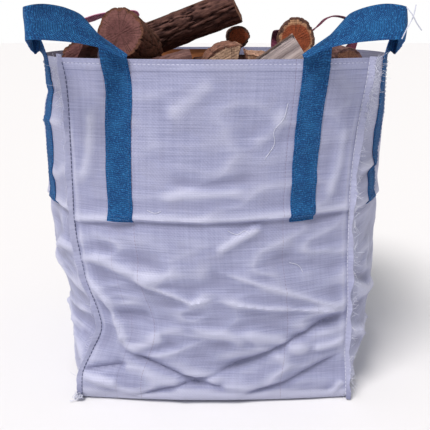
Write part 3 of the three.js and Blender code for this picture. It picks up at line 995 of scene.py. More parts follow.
FRONT_CREASES = (
    # The ledge where the webbing ends: a fold that runs level right across the wall.
    Crease(
        ((-290, 396), (-274, 402), (-145, 419), (0, 420), (145, 424), (261, 425), (290, 424)),
        1.0, 8, True, 2.2, True,
    ),
    # Folds along the two seams.
    Crease(
        ((-276, 690), (-268, 520), (-268, 406), (-254, 285), (-227, 178), (-249, 112), (-270, 60)),
        2.6, 6, True,
    ),
    Crease(((272, 690), (256, 520), (254, 380), (262, 216), (264, 110)), 2.2, 6, True),
    # Long diagonal pulls below the ledge, on the left.
    Crease(((-268, 342), (-156, 308), (-90, 300)), 4.5, 17),
    Crease(((-270, 300), (-218, 239), (-196, 180), (-178, 120)), 7.0, 13, True),
    Crease(((-165, 301), (-100, 276), (-46, 253), (10, 268)), 5.5, 13, True),
    Crease(((-160, 300), (-70, 312), (6, 318)), 3.0, 18),
    Crease(((-190, 130), (-110, 92), (-41, 58), (12, 78)), -7.0, 12, True),
    Crease(((-186, 126), (-140, 148), (-100, 168)), 4.5, 15),
    Crease(((-286, 70), (-230, 82), (-178, 95)), -6.5, 13, True),
    Crease(((-286, 58), (-240, 53), (-200, 46)), 4.0, 9),
    Crease(((-296, 2), (-171, 17), (-110, 36), (-49, 52), (10, 46)), -5.0, 12, True, 0.0, True),
    Crease(((-240, 225), (-190, 205), (-120, 215)), -3.0, 14),
    # And on the right.
    Crease(((-10, 322), (60, 302), (130, 274), (285, 208)), 5.0, 14, True),
    Crease(((-10, 262), (97, 240), (190, 226), (285, 206)), 5.0, 12, True),
    Crease(((290, 208), (220, 188), (150, 152), (80, 112), (-20, 66)), -7.5, 15, True),
    Crease(((280, 122), (215, 86), (150, 48), (40, 18)), -5.5, 13, True),
    Crease(((275, 146), (240, 138), (196, 133)), 3.5, 9),
    Crease(((272, 50), (258, 28), (246, 8)), 3.0, 8),
    Crease(((40, 190), (120, 168), (200, 120)), 3.5, 15),
    Crease(((-60, 200), (20, 180), (70, 150)), 3.0, 16),
    # Above the ledge the cloth is tauter.
    Crease(((-4, 357), (40, 384), (95, 412)), 3.2, 9),
    Crease(((-95, 612), (-50, 640), (6, 686)), 2.6, 17),
    Crease(((-116, 458), (-60, 472), (70, 478)), 2.2, 11),
    Crease(((-100, 500), (-20, 492), (90, 508)), -1.8, 13),
    Crease(((60, 560), (110, 590), (130, 640)), 1.8, 14),
    Crease(((210, 440), (236, 520), (246, 600)), 2.2, 12),
    Crease(((-262, 470), (-236, 540), (-228, 640)), 2.2, 12),
)


def seeded_creases(seed: int, half_width: float) -> tuple[Crease, ...]:
    """Creases for a wall that pulls from its seams: slanting folds below the ledge, fewer above it.

    Args:
        seed: picks the wall's own set.
        half_width: distance from the wall's middle to a seam, in mm.

    Returns:
        The creases, the ledge first.
    """
    rng = np.random.default_rng(seed)
    w = half_width
    ledge = tuple((x * w, 415 + float(rng.uniform(-9, 9))) for x in (-1.02, -0.55, 0.0, 0.5, 1.02))
    creases = [Crease(ledge, 1.0, 8, True, 2.2, True)]
    for side in (-1, 1):
        edge = tuple((side * (w - 9 - 4 * math.sin(z / 90 + seed)), float(z)) for z in range(60, 700, 105))
        creases.append(Crease(edge, 2.4, 6, True))
    for number in range(20):
        low = number < 14
        side = -1 if number % 2 else 1
        z0 = float(rng.uniform(40, 370) if low else rng.uniform(450, 660))
        fall = float(rng.uniform(-90, 60) if low else rng.uniform(-45, 45))
        reach = float(rng.uniform(0.35, 1.1))
        x0, x1 = side * w * 1.0, side * w * (1 - reach)
        middle = ((x0 + x1) / 2 + float(rng.uniform(-12, 12)), z0 + fall / 2 + float(rng.uniform(-16, 16)))
        height = float(rng.uniform(3.5, 6.5)) * (1.0 if low else 0.45) * (-1 if rng.random() < 0.4 else 1)
        line = ((x0, z0), middle, (x1, max(z0 + fall, 12.0)))
        creases.append(Crease(line, height, float(rng.uniform(10, 18)), bool(rng.random() < 0.6)))
    return tuple(creases)


@dataclass(frozen=True)
class BagWalls:
    """The four walls as the load stands them: seams that wander, bellies between them, and creases.

    Heights and distances from the bag's middle come in pairs, (height, distance).
    """

    height: float = 716
    fold_radius: float = 22
    front_left_seam: Stations = (
        (0, 287), (65, 282), (115, 260), (175, 238), (285, 266), (406, 280), (560, 278), (676, 279),
        (716, 285),
    )
    front_right_seam: Stations = (
        (0, 283), (120, 275), (216, 275), (380, 267), (511, 267), (580, 272), (657, 282), (716, 287),
    )
    back_seam: Stations = ((0, 285), (120, 270), (350, 272), (560, 276), (716, 284))
    seam_depth: Stations = ((0, 284), (120, 276), (350, 277), (560, 279), (716, 282))
    front_belly: Stations = ((0, 14), (100, 46), (250, 72), (450, 80), (716, 76))
    side_belly: Stations = ((0, 25), (55, 58), (110, 78), (250, 100), (450, 104), (600, 102), (716, 88))
    creases: dict[Side, tuple[Crease, ...]] = field(
        default_factory=lambda: {
            Side.FRONT: FRONT_CREASES,
            Side.BACK: seeded_creases(11, 275.0),
            Side.LEFT: seeded_creases(23, 275.0),
            Side.RIGHT: seeded_creases(37, 275.0),
        }
    )

    def plain(self, side: Side, share: Array, z: Array) -> Array:
        """Point on a wall without its creases; share runs from -1 to 1 between the seams.

        Args:
            side: which wall.
            share: place across it, from -1 to 1 between its seams.
            z: height, in mm.

        Returns:
            Points, in mm.
        """
        kind, sign = side.value
        share, z = np.broadcast_arrays(np.asarray(share, float), np.asarray(z, float))
        depth = follow(self.seam_depth, z)
        back = follow(self.back_seam, z)
        if kind == "end":
            left = follow(self.front_left_seam, z) if sign < 0 else back
            right = follow(self.front_right_seam, z) if sign < 0 else back
            x = -left + (left + right) * (share + 1) / 2
            y = sign * (depth + follow(self.front_belly, z) * (1 - share**2))
            return np.stack([x, y, z], -1)
        front = follow(self.front_left_seam if sign < 0 else self.front_right_seam, z)
        reach = front + (back - front) * (share + 1) / 2 + follow(self.side_belly, z) * (1 - share**2)
        return np.stack([sign * reach, share * depth, z], -1)

    def outward(self, side: Side, share: Array, z: Array) -> Array:
        """Direction straight out of a wall.

        Args:
            side: which wall.
            share: place across it, from -1 to 1 between its seams.
            z: height, in mm.

        Returns:
            Directions that are one long.
        """
        step = 1e-3
        across = self.plain(side, share + step, z) - self.plain(side, share - step, z)
        up = self.plain(side, share, z + 1) - self.plain(side, share, z - 1)
        up[..., 2] = np.maximum(up[..., 2], 1.0)
        normal = unit(np.cross(across, up))
        kind, sign = side.value
        facing = normal[..., 1] if kind == "end" else normal[..., 0]
        return normal * np.sign(facing * sign)[..., None]

    def relief(self, side: Side, share: Array, z: Array) -> Array:
        """How far creases and waves move the cloth out of the plain wall, in mm.

        Args:
            side: which wall.
            share: place across it, from -1 to 1 between its seams.
            z: height, in mm.

        Returns:
            Distance in mm, inwards when negative.
        """
        place = self.plain(side, share, z)
        kind, _ = side.value
        across = place[..., 0] if kind == "end" else place[..., 1]
        seed = 100 * (list(Side).index(side) + 1)
        flat = np.stack([across, place[..., 2], np.full(across.shape, float(seed))], -1)
        total = sum(crease.relief(across, place[..., 2]) for crease in self.creases[side])
        low = 1 - smoothstep(330, 480, place[..., 2])
        waves = fractal(flat, (190, 130, 1e6), seed, 2) * (2.0 + 2.0 * low)
        # Cloth that was folded flat keeps a few broad straight-edged facets.
        run, rise = flat[..., 0], flat[..., 1]
        slant = np.stack([run + 0.8 * rise, rise - 0.3 * run, flat[..., 2]], -1)
        facets = 1 - 2 * np.abs(fractal(slant, (135, 60, 1e6), seed + 9, 2))
        pucker = fractal(flat, (46, 8, 1e6), seed + 17, 3)
        total = 2.0 * total + waves + facets * (1.6 + 2.4 * low) + pucker * (0.3 + 0.25 * low)
        seam = 1 - np.abs(share) ** 26
        rim = 1 - 0.62 * smoothstep(630, 716, place[..., 2])
        stitching = np.exp(-(((place[..., 2] - HEM_STITCHES) / 2.2) ** 2))
        hem = 0.7 * smoothstep(HEM_FOLD - 1.5, HEM_FOLD + 1.5, place[..., 2]) - 0.9 * stitching
        ground = smoothstep(0, 26, place[..., 2])
        return total * seam * rim * ground + hem * seam

    def cloth(self, side: Side, share: Array, z: Array, lift: float | Array = 0.0) -> Array:
        """Point on the creased wall, or lift mm out from it.

        Args:
            side: which wall.
            share: place across it, from -1 to 1 between its seams.
            z: height, in mm.
            lift: distance out from the cloth, in mm.

        Returns:
            Points, in mm.
        """
        share, z = np.broadcast_arrays(np.asarray(share, float), np.asarray(z, float))
        out = self.outward(side, share, z)
        return self.plain(side, share, z) + out * (self.relief(side, share, z) + lift)[..., None]


# ---- cloth panels -------------------------------------------------------------------------


@dataclass
class BagPanels:
    """The U-shaped piece and the two side panels, cut from 600 mm wide cloth."""

    walls: BagWalls
    thickness: float = 1.2  # the cloth is 0.4 mm thick; drawn thicker, with its folded hem
    cloth_width: float = 600
    base_length: float = 560
    base_half_depth: float = 284
    base_half_width: float = 287
    base_belly: float = 25  # how far each side wall bellies out over the base's edge
    lowest: float = 0.7  # the middle of the cloth where it lies on the ground
    fold_range: float = 3.2
    across: int = 150
    front_rows: int = 190
    base_rows: int = 24
    back_rows: int = 100
    side_across: int = 112
    side_rows: int = 130

    def wall_rows(self, side: Side, heights: Array) -> tuple[Array, Array]:
        """Rows of a wall of the U-shaped piece.

        Args:
            side: front or back.
            heights: of the rows, in mm.

        Returns:
            Points in mm, and each one's mark up the cloth.
        """
        share = np.linspace(-1, 1, self.across)
        points = self.walls.cloth(side, share[None, :], heights[:, None])
        return points, np.broadcast_to(heights[:, None], points.shape[:2])

    def widening(self, y: Array) -> Array:
        """How much wider than its seams the base is at y, because the side walls belly out over it."""
        depth = np.minimum(np.abs(y) / self.base_half_depth, 1)
        return 1 + self.base_belly / self.base_half_width * (1 - depth**2)

    def turn_rows(self, side: Side, angles: Array) -> tuple[Array, Array]:
        """Rows of the turn from a wall into the base.

        Args:
            side: front or back.
            angles: how far round the turn each row lies, in radians.

        Returns:
            Points in mm, and each one's mark up the cloth.
        """
        radius = self.walls.fold_radius
        heights = radius * (1 - np.sin(angles))
        points, marks = self.wall_rows(side, heights)
        points[..., 1] -= side.value[1] * (radius * (1 - np.cos(angles)))[:, None]
        points[..., 0] *= self.widening(points[..., 1])
        return points, marks

    def base_between(self, front_edge: Array, back_edge: Array) -> tuple[Array, Array]:
        """Rows of the base, which wrinkles a little where it lies on the ground.

        Args:
            front_edge: last row of the front's turn.
            back_edge: first row of the back's turn.

        Returns:
            Points in mm, and each one's mark, which counts down from the front.
        """
        t = np.linspace(0, 1, self.base_rows)[1:-1, None, None]
        base = front_edge + (back_edge - front_edge) * t
        base[..., 0] *= self.widening(base[..., 1]) / self.widening(front_edge[:, 1])
        base[..., 2] = 0.8 + 0.6 * (1 + fractal(base, 60, 5, 2))
        return base, -np.broadcast_to(t[..., 0] * self.base_length, base.shape[:2])

    def u_grid(self) -> tuple[Array, Array]:
        """Makes the U-shaped piece, from front rim to back rim.

        Returns:
            Its points and their cloth coordinates, both in mm.
        """
        radius, height = self.walls.fold_radius, self.walls.height
        fold = np.linspace(0, math.pi / 2, 8)[1:]
        front = self.wall_rows(Side.FRONT, np.linspace(height, radius, self.front_rows))
        front_turn = self.turn_rows(Side.FRONT, fold)
        back_turn = self.turn_rows(Side.BACK, fold[::-1])
        base = self.base_between(front_turn[0][-1], back_turn[0][0])
        back = self.wall_rows(Side.BACK, np.linspace(radius, height, self.back_rows)[1:])
        rows, marks = zip(front, front_turn, base, back_turn, back)
        points = np.concatenate(rows)
        points[..., 2] = np.maximum(points[..., 2], self.lowest)
        share = np.linspace(-1, 1, self.across)
        u = np.broadcast_to(share * self.cloth_width / 2, points.shape[:2])
        return points, np.stack([u, np.concatenate(marks)], -1)

    def u_piece(self, finish: Material) -> Piece:
        """Builds the front, base and back as one sheet.

        Args:
            finish: its cloth.

        Returns:
            The piece.
        """
        maker = MeshMaker()
        points, cut = self.u_grid()
        along, across = np.gradient(points, axis=(0, 1))
        outward = unit(np.cross(across, along))
        outward *= np.sign(outward[4, self.across // 2, 1] * -1)
        # How deep each point lies in a fold sets its painted shade and painted highlight.
        maker.add_sheet(points, self.thickness, cut * MM, 0, fold_depth(points, outward, 5, self.fold_range))
        piece = maker.build("u_panel_cloth", [finish])
        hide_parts("u_panel")
        return piece

    def side_panel(self, side: Side, finish: Material) -> Piece:
        """Builds one side panel.

        Args:
            side: left or right.
            finish: its cloth.

        Returns:
            The piece.
        """
        maker = MeshMaker()
        share = np.linspace(-1, 1, self.side_across)[None, :]
        heights = np.linspace(self.walls.height, 2.0, self.side_rows)[:, None]
        points = self.walls.cloth(side, share, heights)
        u, v = np.broadcast_arrays(share * self.cloth_width / 2, heights)
        # How deep each point lies in a fold sets its painted shade and painted highlight.
        shade = fold_depth(points, self.walls.outward(side, share, heights), 3, self.fold_range)
        maker.add_sheet(points, self.thickness, np.stack([u, v], -1) * MM, 0, shade)
        node = "side_panel_" + side.name.lower()
        piece = maker.build(node + "_cloth", [finish])
        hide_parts(node)
        return piece


@dataclass
class CornerSeams:
    """The four upright seams: a flange of turned-out cloth, its row of stitches and its frayed ends."""

    walls: BagWalls
    flange_width: float = 12.0
    flange_thickness: float = 2.2
    stitch_length: float = 5.5
    stitch_gap: float = 3.0
    thread_radius: float = 0.75
    fibre_radius: float = 0.32

    def seam_line(self, side_x: int, end_y: int, z: Array) -> Array:
        """Points on one corner's seam."""
        side = Side.FRONT if end_y < 0 else Side.BACK
        return self.walls.plain(side, np.full(z.shape, float(side_x)), z)

    def flange(self, side_x: int, end_y: int, finish: Material) -> Piece:
        """Builds one flange, which lies back along the side wall and flutters a little.

        Args:
            side_x: sign of the corner along X.
            end_y: sign of the corner along Y.
            finish: its cloth.

        Returns:
            The piece.
        """
        z = np.linspace(self.walls.height + (6 if side_x < 0 else 2), 4.0, 230)
        across = np.linspace(0, 1, 7)
        root = self.seam_line(side_x, end_y, np.clip(z, 0, self.walls.height))
        root[:, 2] = z
        seed = 50 + side_x * 3 + end_y * 7
        line = np.stack([z, np.zeros_like(z), np.zeros_like(z)], -1)
        sway = fractal(line, 70, seed, 3)
        flutter = fractal(line, 16, seed + 5, 2)
        width = self.flange_width * (1 + 0.22 * fractal(line, 38, seed + 9, 3))
        pinch = 1 - 0.5 * np.exp(-(((z - 240) / 16) ** 2))
        turn = math.radians(20) + 0.38 * sway
        out_x = side_x * np.cos(turn)
        out_y = end_y * np.sin(turn)
        reach = (width * pinch)[:, None] * across[None, :]
        points = np.repeat(root[:, None], len(across), 1)
        points[..., 0] += out_x[:, None] * reach - side_x * 1.5
        points[..., 1] += out_y[:, None] * reach + end_y * (1.2 + 1.4 * flutter[:, None] * across**2)
        points[..., 2] += 2.0 * sway[:, None] * across
        maker = MeshMaker()
        u, v = np.broadcast_arrays(300 + reach, z[:, None])
        maker.add_sheet(points, self.flange_thickness, np.stack([u, v], -1) * MM)
        name = "seam_flange_" + corner_name(side_x, end_y)
        return maker.build(name, [finish])

    def stitches(self, side_x: int, end_y: int, finish: Material) -> Piece:
        """Builds the row of lock stitches along a seam as one piece.

        Args:
            side_x: sign of the corner along X.
            end_y: sign of the corner along Y.
            finish: its thread.

        Returns:
            The piece.
        """
        maker = MeshMaker()
        pitch = self.stitch_length + self.stitch_gap
        side = Side.FRONT if end_y < 0 else Side.BACK
        for start in np.arange(14.0, self.walls.height - 6, pitch):
            z = np.linspace(start, start + self.stitch_length, 5)
            path = self.walls.plain(side, np.full(5, side_x * 0.994), z)
            path[:, 1] += end_y * (1.6 + 0.9 * np.sin(np.linspace(0, math.pi, 5)))
            path[:, 0] += side_x * 0.6 * math.sin(start * 0.7)
            maker.add_tube(path, self.thread_radius, 5)
        name = "seam_stitches_" + corner_name(side_x, end_y)
        return maker.build(name, [finish])

    def fraying(self, side_x: int, end_y: int, count: int, seed: int, finish: Material) -> Piece:
        """Builds the loose tape ends that stand out of a flange's raw edge.

        Args:
            side_x: sign of the corner along X.
            end_y: sign of the corner along Y.
            count: how many tape ends stand out.
            seed: picks where they stand.
            finish: their finish.

        Returns:
            The piece.
        """
        rng = np.random.default_rng(seed)
        maker = MeshMaker()
        heights = np.concatenate([
            rng.uniform(590, 716, count // 2),
            rng.uniform(20, 640, count - count // 2),
        ])
        for z in heights:
            root = self.seam_line(side_x, end_y, np.array([z]))[0]
            root = root + [side_x * rng.uniform(6, 13), end_y * rng.uniform(1, 6), 0]
            length = float(rng.uniform(6, 20) * (1.35 if z > 650 else 1.0))
            aside, ahead, rise = rng.uniform(0.2, 1.0), rng.uniform(0.0, 0.6), rng.normal(0, 0.9)
            way = unit(np.array([side_x * aside, end_y * ahead, rise]))
            bend = unit(rng.normal(size=3)) * length * 0.28
            t = np.linspace(0, 1, 6)[:, None]
            path = root + way * length * t + bend * t * t
            maker.add_tube(path, self.fibre_radius * (1.2 - 0.6 * t[:, 0]), 3)
        name = "frayed_edge_" + corner_name(side_x, end_y)
        return maker.build(name, [finish])


# ---- lifting loops ------------------------------------------------------------------------

FreeStations = tuple[tuple[float, float, float, float, float, float], ...]


class LoopPose(Enum):
    """How a loop's free stretch lies: the band's two edges, given for the left front corner's signs."""

    LEANING_OUT = (
        (156, 341, 718, 206, 333, 752), (153, 346, 723, 203, 341, 757), (158, 352, 719, 210, 350, 764),
        (190, 366, 734, 226, 364, 789), (226, 395, 744, 248, 390, 801), (262, 425, 749, 274, 420, 806),
        (288, 444, 751, 291, 438, 804), (298, 446, 751, 299, 438, 802), (304, 434, 750, 306, 424, 801),
        (318, 380, 744, 322, 362, 796), (336, 300, 734, 341, 285, 786), (352, 214, 722, 355, 226, 775),
        (362, 160, 718, 361, 210, 769), (357, 154, 723, 356, 205, 772), (351, 156, 718, 348, 205, 766),
    )
    FALLEN_IN = (
        (155, 347, 736, 207, 338, 736), (157, 334, 756, 209, 326, 756), (168, 290, 770, 222, 290, 768),
        (180, 210, 782, 234, 225, 776), (188, 150, 790, 240, 194, 782), (184, 138, 798, 236, 186, 790),
        (190, 134, 806, 242, 184, 796), (230, 130, 806, 262, 182, 796), (300, 134, 795, 302, 186, 785),
        (340, 142, 776, 340, 194, 770), (354, 152, 742, 352, 204, 740),
    )
    LOW_ARCH = (
        (155, 346, 736, 207, 338, 736), (158, 328, 757, 210, 324, 757), (176, 270, 760, 226, 282, 760),
        (196, 200, 754, 240, 236, 758), (222, 160, 752, 252, 210, 762), (256, 150, 772, 262, 202, 776),
        (276, 148, 790, 278, 200, 790), (304, 148, 796, 306, 200, 794), (340, 150, 783, 341, 202, 780),
        (355, 153, 750, 353, 205, 748),
    )


@dataclass
class LiftingLoops:
    """Four loops of webbing, each with one leg sewn to an end wall and one to a side wall."""

    walls: BagWalls
    width: float = 52.0
    thickness: float = 2.6
    leg_end: float = 414.0
    leg_centre: float = 0.63
    half_width_of_wall: float = 292.0
    columns: int = 15
    spacing: float = 3.6

    def leg(self, side: Side, first: float, second: float, seed: int) -> Array:
        """Grid of a sewn leg, from its lower end up to the rim, lying on the creased cloth.

        Args:
            side: the wall that it is sewn to.
            first: place of one edge across the wall, from -1 to 1.
            second: place of the other.
            seed: picks how it sways.

        Returns:
            Grid of points, in mm.
        """
        z = np.arange(self.leg_end, self.walls.height - 6, self.spacing)[:, None]
        t = np.linspace(0, 1, self.columns)[None, :]
        line = np.stack([z[:, 0], np.zeros(len(z)), np.zeros(len(z))], -1)
        sway = fractal(line, 110, seed, 2)[:, None] * 2.6 / self.half_width_of_wall
        share = first + (second - first) * t + sway * smoothstep(710, 640, z)
        lift = 1.9 + 0.35 * np.sin(z / 17 + seed) + 0.5 * fractal(
            np.stack(np.broadcast_arrays(z, t * self.width, np.full_like(t, seed)), -1), (26, 30, 9), seed, 2
        )
        return self.walls.cloth(side, share, z, lift)

    def grid(self, side_x: int, end_y: int, pose: LoopPose, seed: int) -> Array:
        """Grid of the whole band, from the end wall's leg over the free stretch to the side wall's.

        Args:
            side_x: sign of the corner along X.
            end_y: sign of the corner along Y.
            pose: how the free stretch lies.
            seed: picks how the band sways.

        Returns:
            Grid of points, in mm.
        """
        half = self.width / 2 / self.half_width_of_wall
        inner, outer = self.leg_centre - half, self.leg_centre + half
        end = Side.FRONT if end_y < 0 else Side.BACK
        side = Side.LEFT if side_x < 0 else Side.RIGHT
        first = self.leg(end, inner * side_x, outer * side_x, seed)
        last = self.leg(side, inner * end_y, outer * end_y, seed + 3)[::-1]
        signs = np.array([side_x, end_y, 1, side_x, end_y, 1])
        free = (np.array(pose.value, float) * signs).reshape(-1, 2, 3)
        lead = first[[-12, -1]][:, [0, -1]]
        tail = last[[0, 11]][:, [0, -1]]
        stations = np.concatenate([lead, free, tail])
        edges = smooth_path(stations, self.spacing, 1, len(stations) - 2)[1:]
        t = np.linspace(0, 1, self.columns)[None, :, None]
        band = edges[:, :1] * (1 - t) + edges[:, 1:] * t
        ahead = np.gradient(band, axis=0)
        normal = unit(np.cross(ahead, edges[:, 1:] - edges[:, :1]))
        count = len(band)
        run = np.linspace(0, math.pi, count)[:, None]
        line = np.stack([np.arange(count) * self.spacing, np.zeros(count), np.zeros(count)], -1)
        camber = (0.8 + 1.6 * fractal(line, 60, seed + 5, 2))[:, None] * (1 - (2 * t[..., 0] - 1) ** 2)
        ripple = 0.9 * fractal(
            np.stack(np.broadcast_arrays(line[:, :1], t[..., 0] * self.width, np.full_like(run, seed)), -1),
            (34, 20, 9), seed + 8, 2,
        )
        band = band + normal * ((camber + ripple) * np.sin(run) ** 0.5)[..., None]
        return np.concatenate([first, band, last])

    def loop(self, node: str, side_x: int, end_y: int, pose: LoopPose, finish: Material) -> Piece:
        """Builds one loop.

        Args:
            node: the CAD node that it stands for.
            side_x: sign of its corner along X.
            end_y: sign of its corner along Y.
            pose: how its free stretch lies.
            finish: its webbing.

        Returns:
            The piece.
        """
        points = self.grid(side_x, end_y, pose, 7 + side_x + 2 * end_y)
        step = np.linalg.norm(np.diff(points[:, self.columns // 2], axis=0), axis=1)
        length = np.concatenate([[0], np.cumsum(step)])
        across = np.linspace(0, self.width, self.columns)
        u, v = np.broadcast_arrays(across[None, :], length[:, None])
        # The woven edges are a little thinner than the middle.
        edge = 1 - 0.45 * np.abs(2 * across / self.width - 1) ** 6
        thickness = self.thickness * np.broadcast_to(edge, points.shape[:2])
        maker = MeshMaker()
        maker.add_sheet(points, thickness, np.stack([u, v], -1) * MM)
        piece = maker.build(node + "_webbing", [finish])
        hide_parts(node)
        return piece

    def leg_stitches(self, side_x: int, end_y: int, finish: Material) -> Piece:
        """Builds the stitches that hold both legs: two rows up each, and a row across each lower end.

        Args:
            side_x: sign of the corner along X.
            end_y: sign of the corner along Y.
            finish: its thread.

        Returns:
            The piece.
        """
        maker = MeshMaker()
        half = self.width / 2 / self.half_width_of_wall
        end = Side.FRONT if end_y < 0 else Side.BACK
        side = Side.LEFT if side_x < 0 else Side.RIGHT
        for wall, sign in ((end, side_x), (side, end_y)):
            for row in (-0.80, 0.80):
                share = (self.leg_centre + row * half) * sign
                for start in np.arange(self.leg_end + 5, 700, 8.5):
                    z = np.linspace(start, start + 5.2, 4)
                    lift = 3.35 + 0.5 * np.sin(np.linspace(0, math.pi, 4))
                    maker.add_tube(self.walls.cloth(wall, np.full(4, share), z, lift), 0.55, 4)
            for height in (self.leg_end + 6, self.leg_end + 12):
                for step in np.arange(-0.7, 0.62, 0.24):
                    share = (self.leg_centre + np.linspace(step, step + 0.16, 4) * half) * sign
                    lift = 3.4 + 0.5 * np.sin(np.linspace(0, math.pi, 4))
                    maker.add_tube(self.walls.cloth(wall, share, np.full(4, height), lift), 0.55, 4)
        name = "loop_stitches_" + corner_name(side_x, end_y)
        return maker.build(name, [finish])


# ---- loose threads ------------------------------------------------------------------------


@dataclass
class LooseThreads:
    """Thread ends that were never trimmed."""

    walls: BagWalls
    tail_radius: float = 1.0
    ring_radius: float = 0.9
    knot_radius: float = 0.8
    tape_radius: float = 0.55

    def route(self, stations: Sequence[Sequence[float]]) -> Array:
        """A smooth path through points."""
        return smooth_path(np.array(stations, float)[:, None], 2.0)[:, 0]

    def on_front(self, x: float, z: float, lift: float) -> Array:
        """A point over the front cloth."""
        return self.walls.cloth(Side.FRONT, np.array(x / 275.0), np.array(z), lift)

    def thread_ends(self, finish: Material) -> Piece:
        """Builds the stiff tails at the right loop's tip and the small loop on the left one's fold.

        Args:
            finish: its thread.

        Returns:
            The piece.
        """
        maker = MeshMaker()
        maker.add_tube(
            self.route([(296, -449, 752), (302, -452, 768), (312, -446, 786), (317, -440, 806)]),
            self.tail_radius,
        )
        maker.add_tube(
            self.route([(300, -448, 800), (308, -452, 790), (318, -448, 776), (330, -440, 764)]),
            self.tail_radius,
        )
        ring = [
            (-214, -352, 770), (-206, -358, 764), (-200, -358, 752), (-207, -352, 742), (-212, -347, 752),
        ]
        maker.add_tube(self.route(ring), self.ring_radius)
        return maker.build("loop_thread_ends", [finish])

    def corner_knot(self, finish: Material) -> Piece:
        """Builds the tangle of seam thread at the lower left front corner.

        Args:
            finish: its thread.

        Returns:
            The piece.
        """
        rng = np.random.default_rng(5)
        maker = MeshMaker()
        centre = np.array([-292.0, -290.0, 13.0])
        for _ in range(9):
            steps = centre + rng.normal(size=(7, 3)) * [5.0, 3.0, 4.5]
            steps[:, 2] = np.maximum(steps[:, 2], 2.5)
            maker.add_tube(self.route(steps), self.knot_radius, 5)
        tail = [centre, centre + [-6, -3, -6], centre + [-14, -5, -9], centre + [-20, -4, -8]]
        maker.add_tube(self.route(tail), self.knot_radius, 5)
        return maker.build("corner_thread_knot", [finish])

    def lying_fibre(self, finish: Material) -> Piece:
        """Builds the fine pale tapes that have worked loose and lie on the front.

        Args:
            finish: its tapes.

        Returns:
            The piece.
        """
        maker = MeshMaker()
        for places in (
            ((128, 639), (122, 612), (108, 590), (112, 566), (95, 537)),
            ((-120, 440), (-104, 436), (-92, 441)),
            ((30, 404), (48, 397), (62, 403), (75, 396)),
            ((150, 330), (168, 322), (176, 306)),
        ):
            path = self.route([self.on_front(x, z, 1.6) for x, z in places])
            maker.add_tube(path, self.tape_radius, 4)
        return maker.build("loose_cloth_tapes", [finish])


# ---- firewood -----------------------------------------------------------------------------


@dataclass(frozen=True)
class LogForm:
    """A log's straight solid, read from its node."""

    start: Array
    axis: Array
    right: Array
    up: Array
    length: float
    outline: Array  # (points, 2), anticlockwise seen from the axis' far end
    split: Array  # for each side of the outline, whether it is a split face
    pith: Array


class Grade(Enum):
    """How fine a log is made: spacing round it and along it in mm, and rings on each end."""

    SHOWN = (2.3, 3.0, 12)
    GLIMPSED = (3.6, 4.6, 8)
    BURIED = (9.0, 16.0, 3)


SHOWN_LOGS = {
    "log_half_39": LogWood.PALE,
    "log_round_40": LogWood.BROWN,
    "log_round_46": LogWood.RUSSET,
    "log_half_47": LogWood.RUSSET,
    "log_quarter_48": LogWood.TAN,
    "log_half_49": LogWood.TAN,
    "log_round_50": LogWood.ORANGE,
    "log_round_51": LogWood.BROWN,
    "log_round_52": LogWood.ORANGE,
    "log_half_53": LogWood.FURROWED,
}
GLIMPSED_FROM = 29  # logs with this number or a higher one can be glimpsed between the shown ones


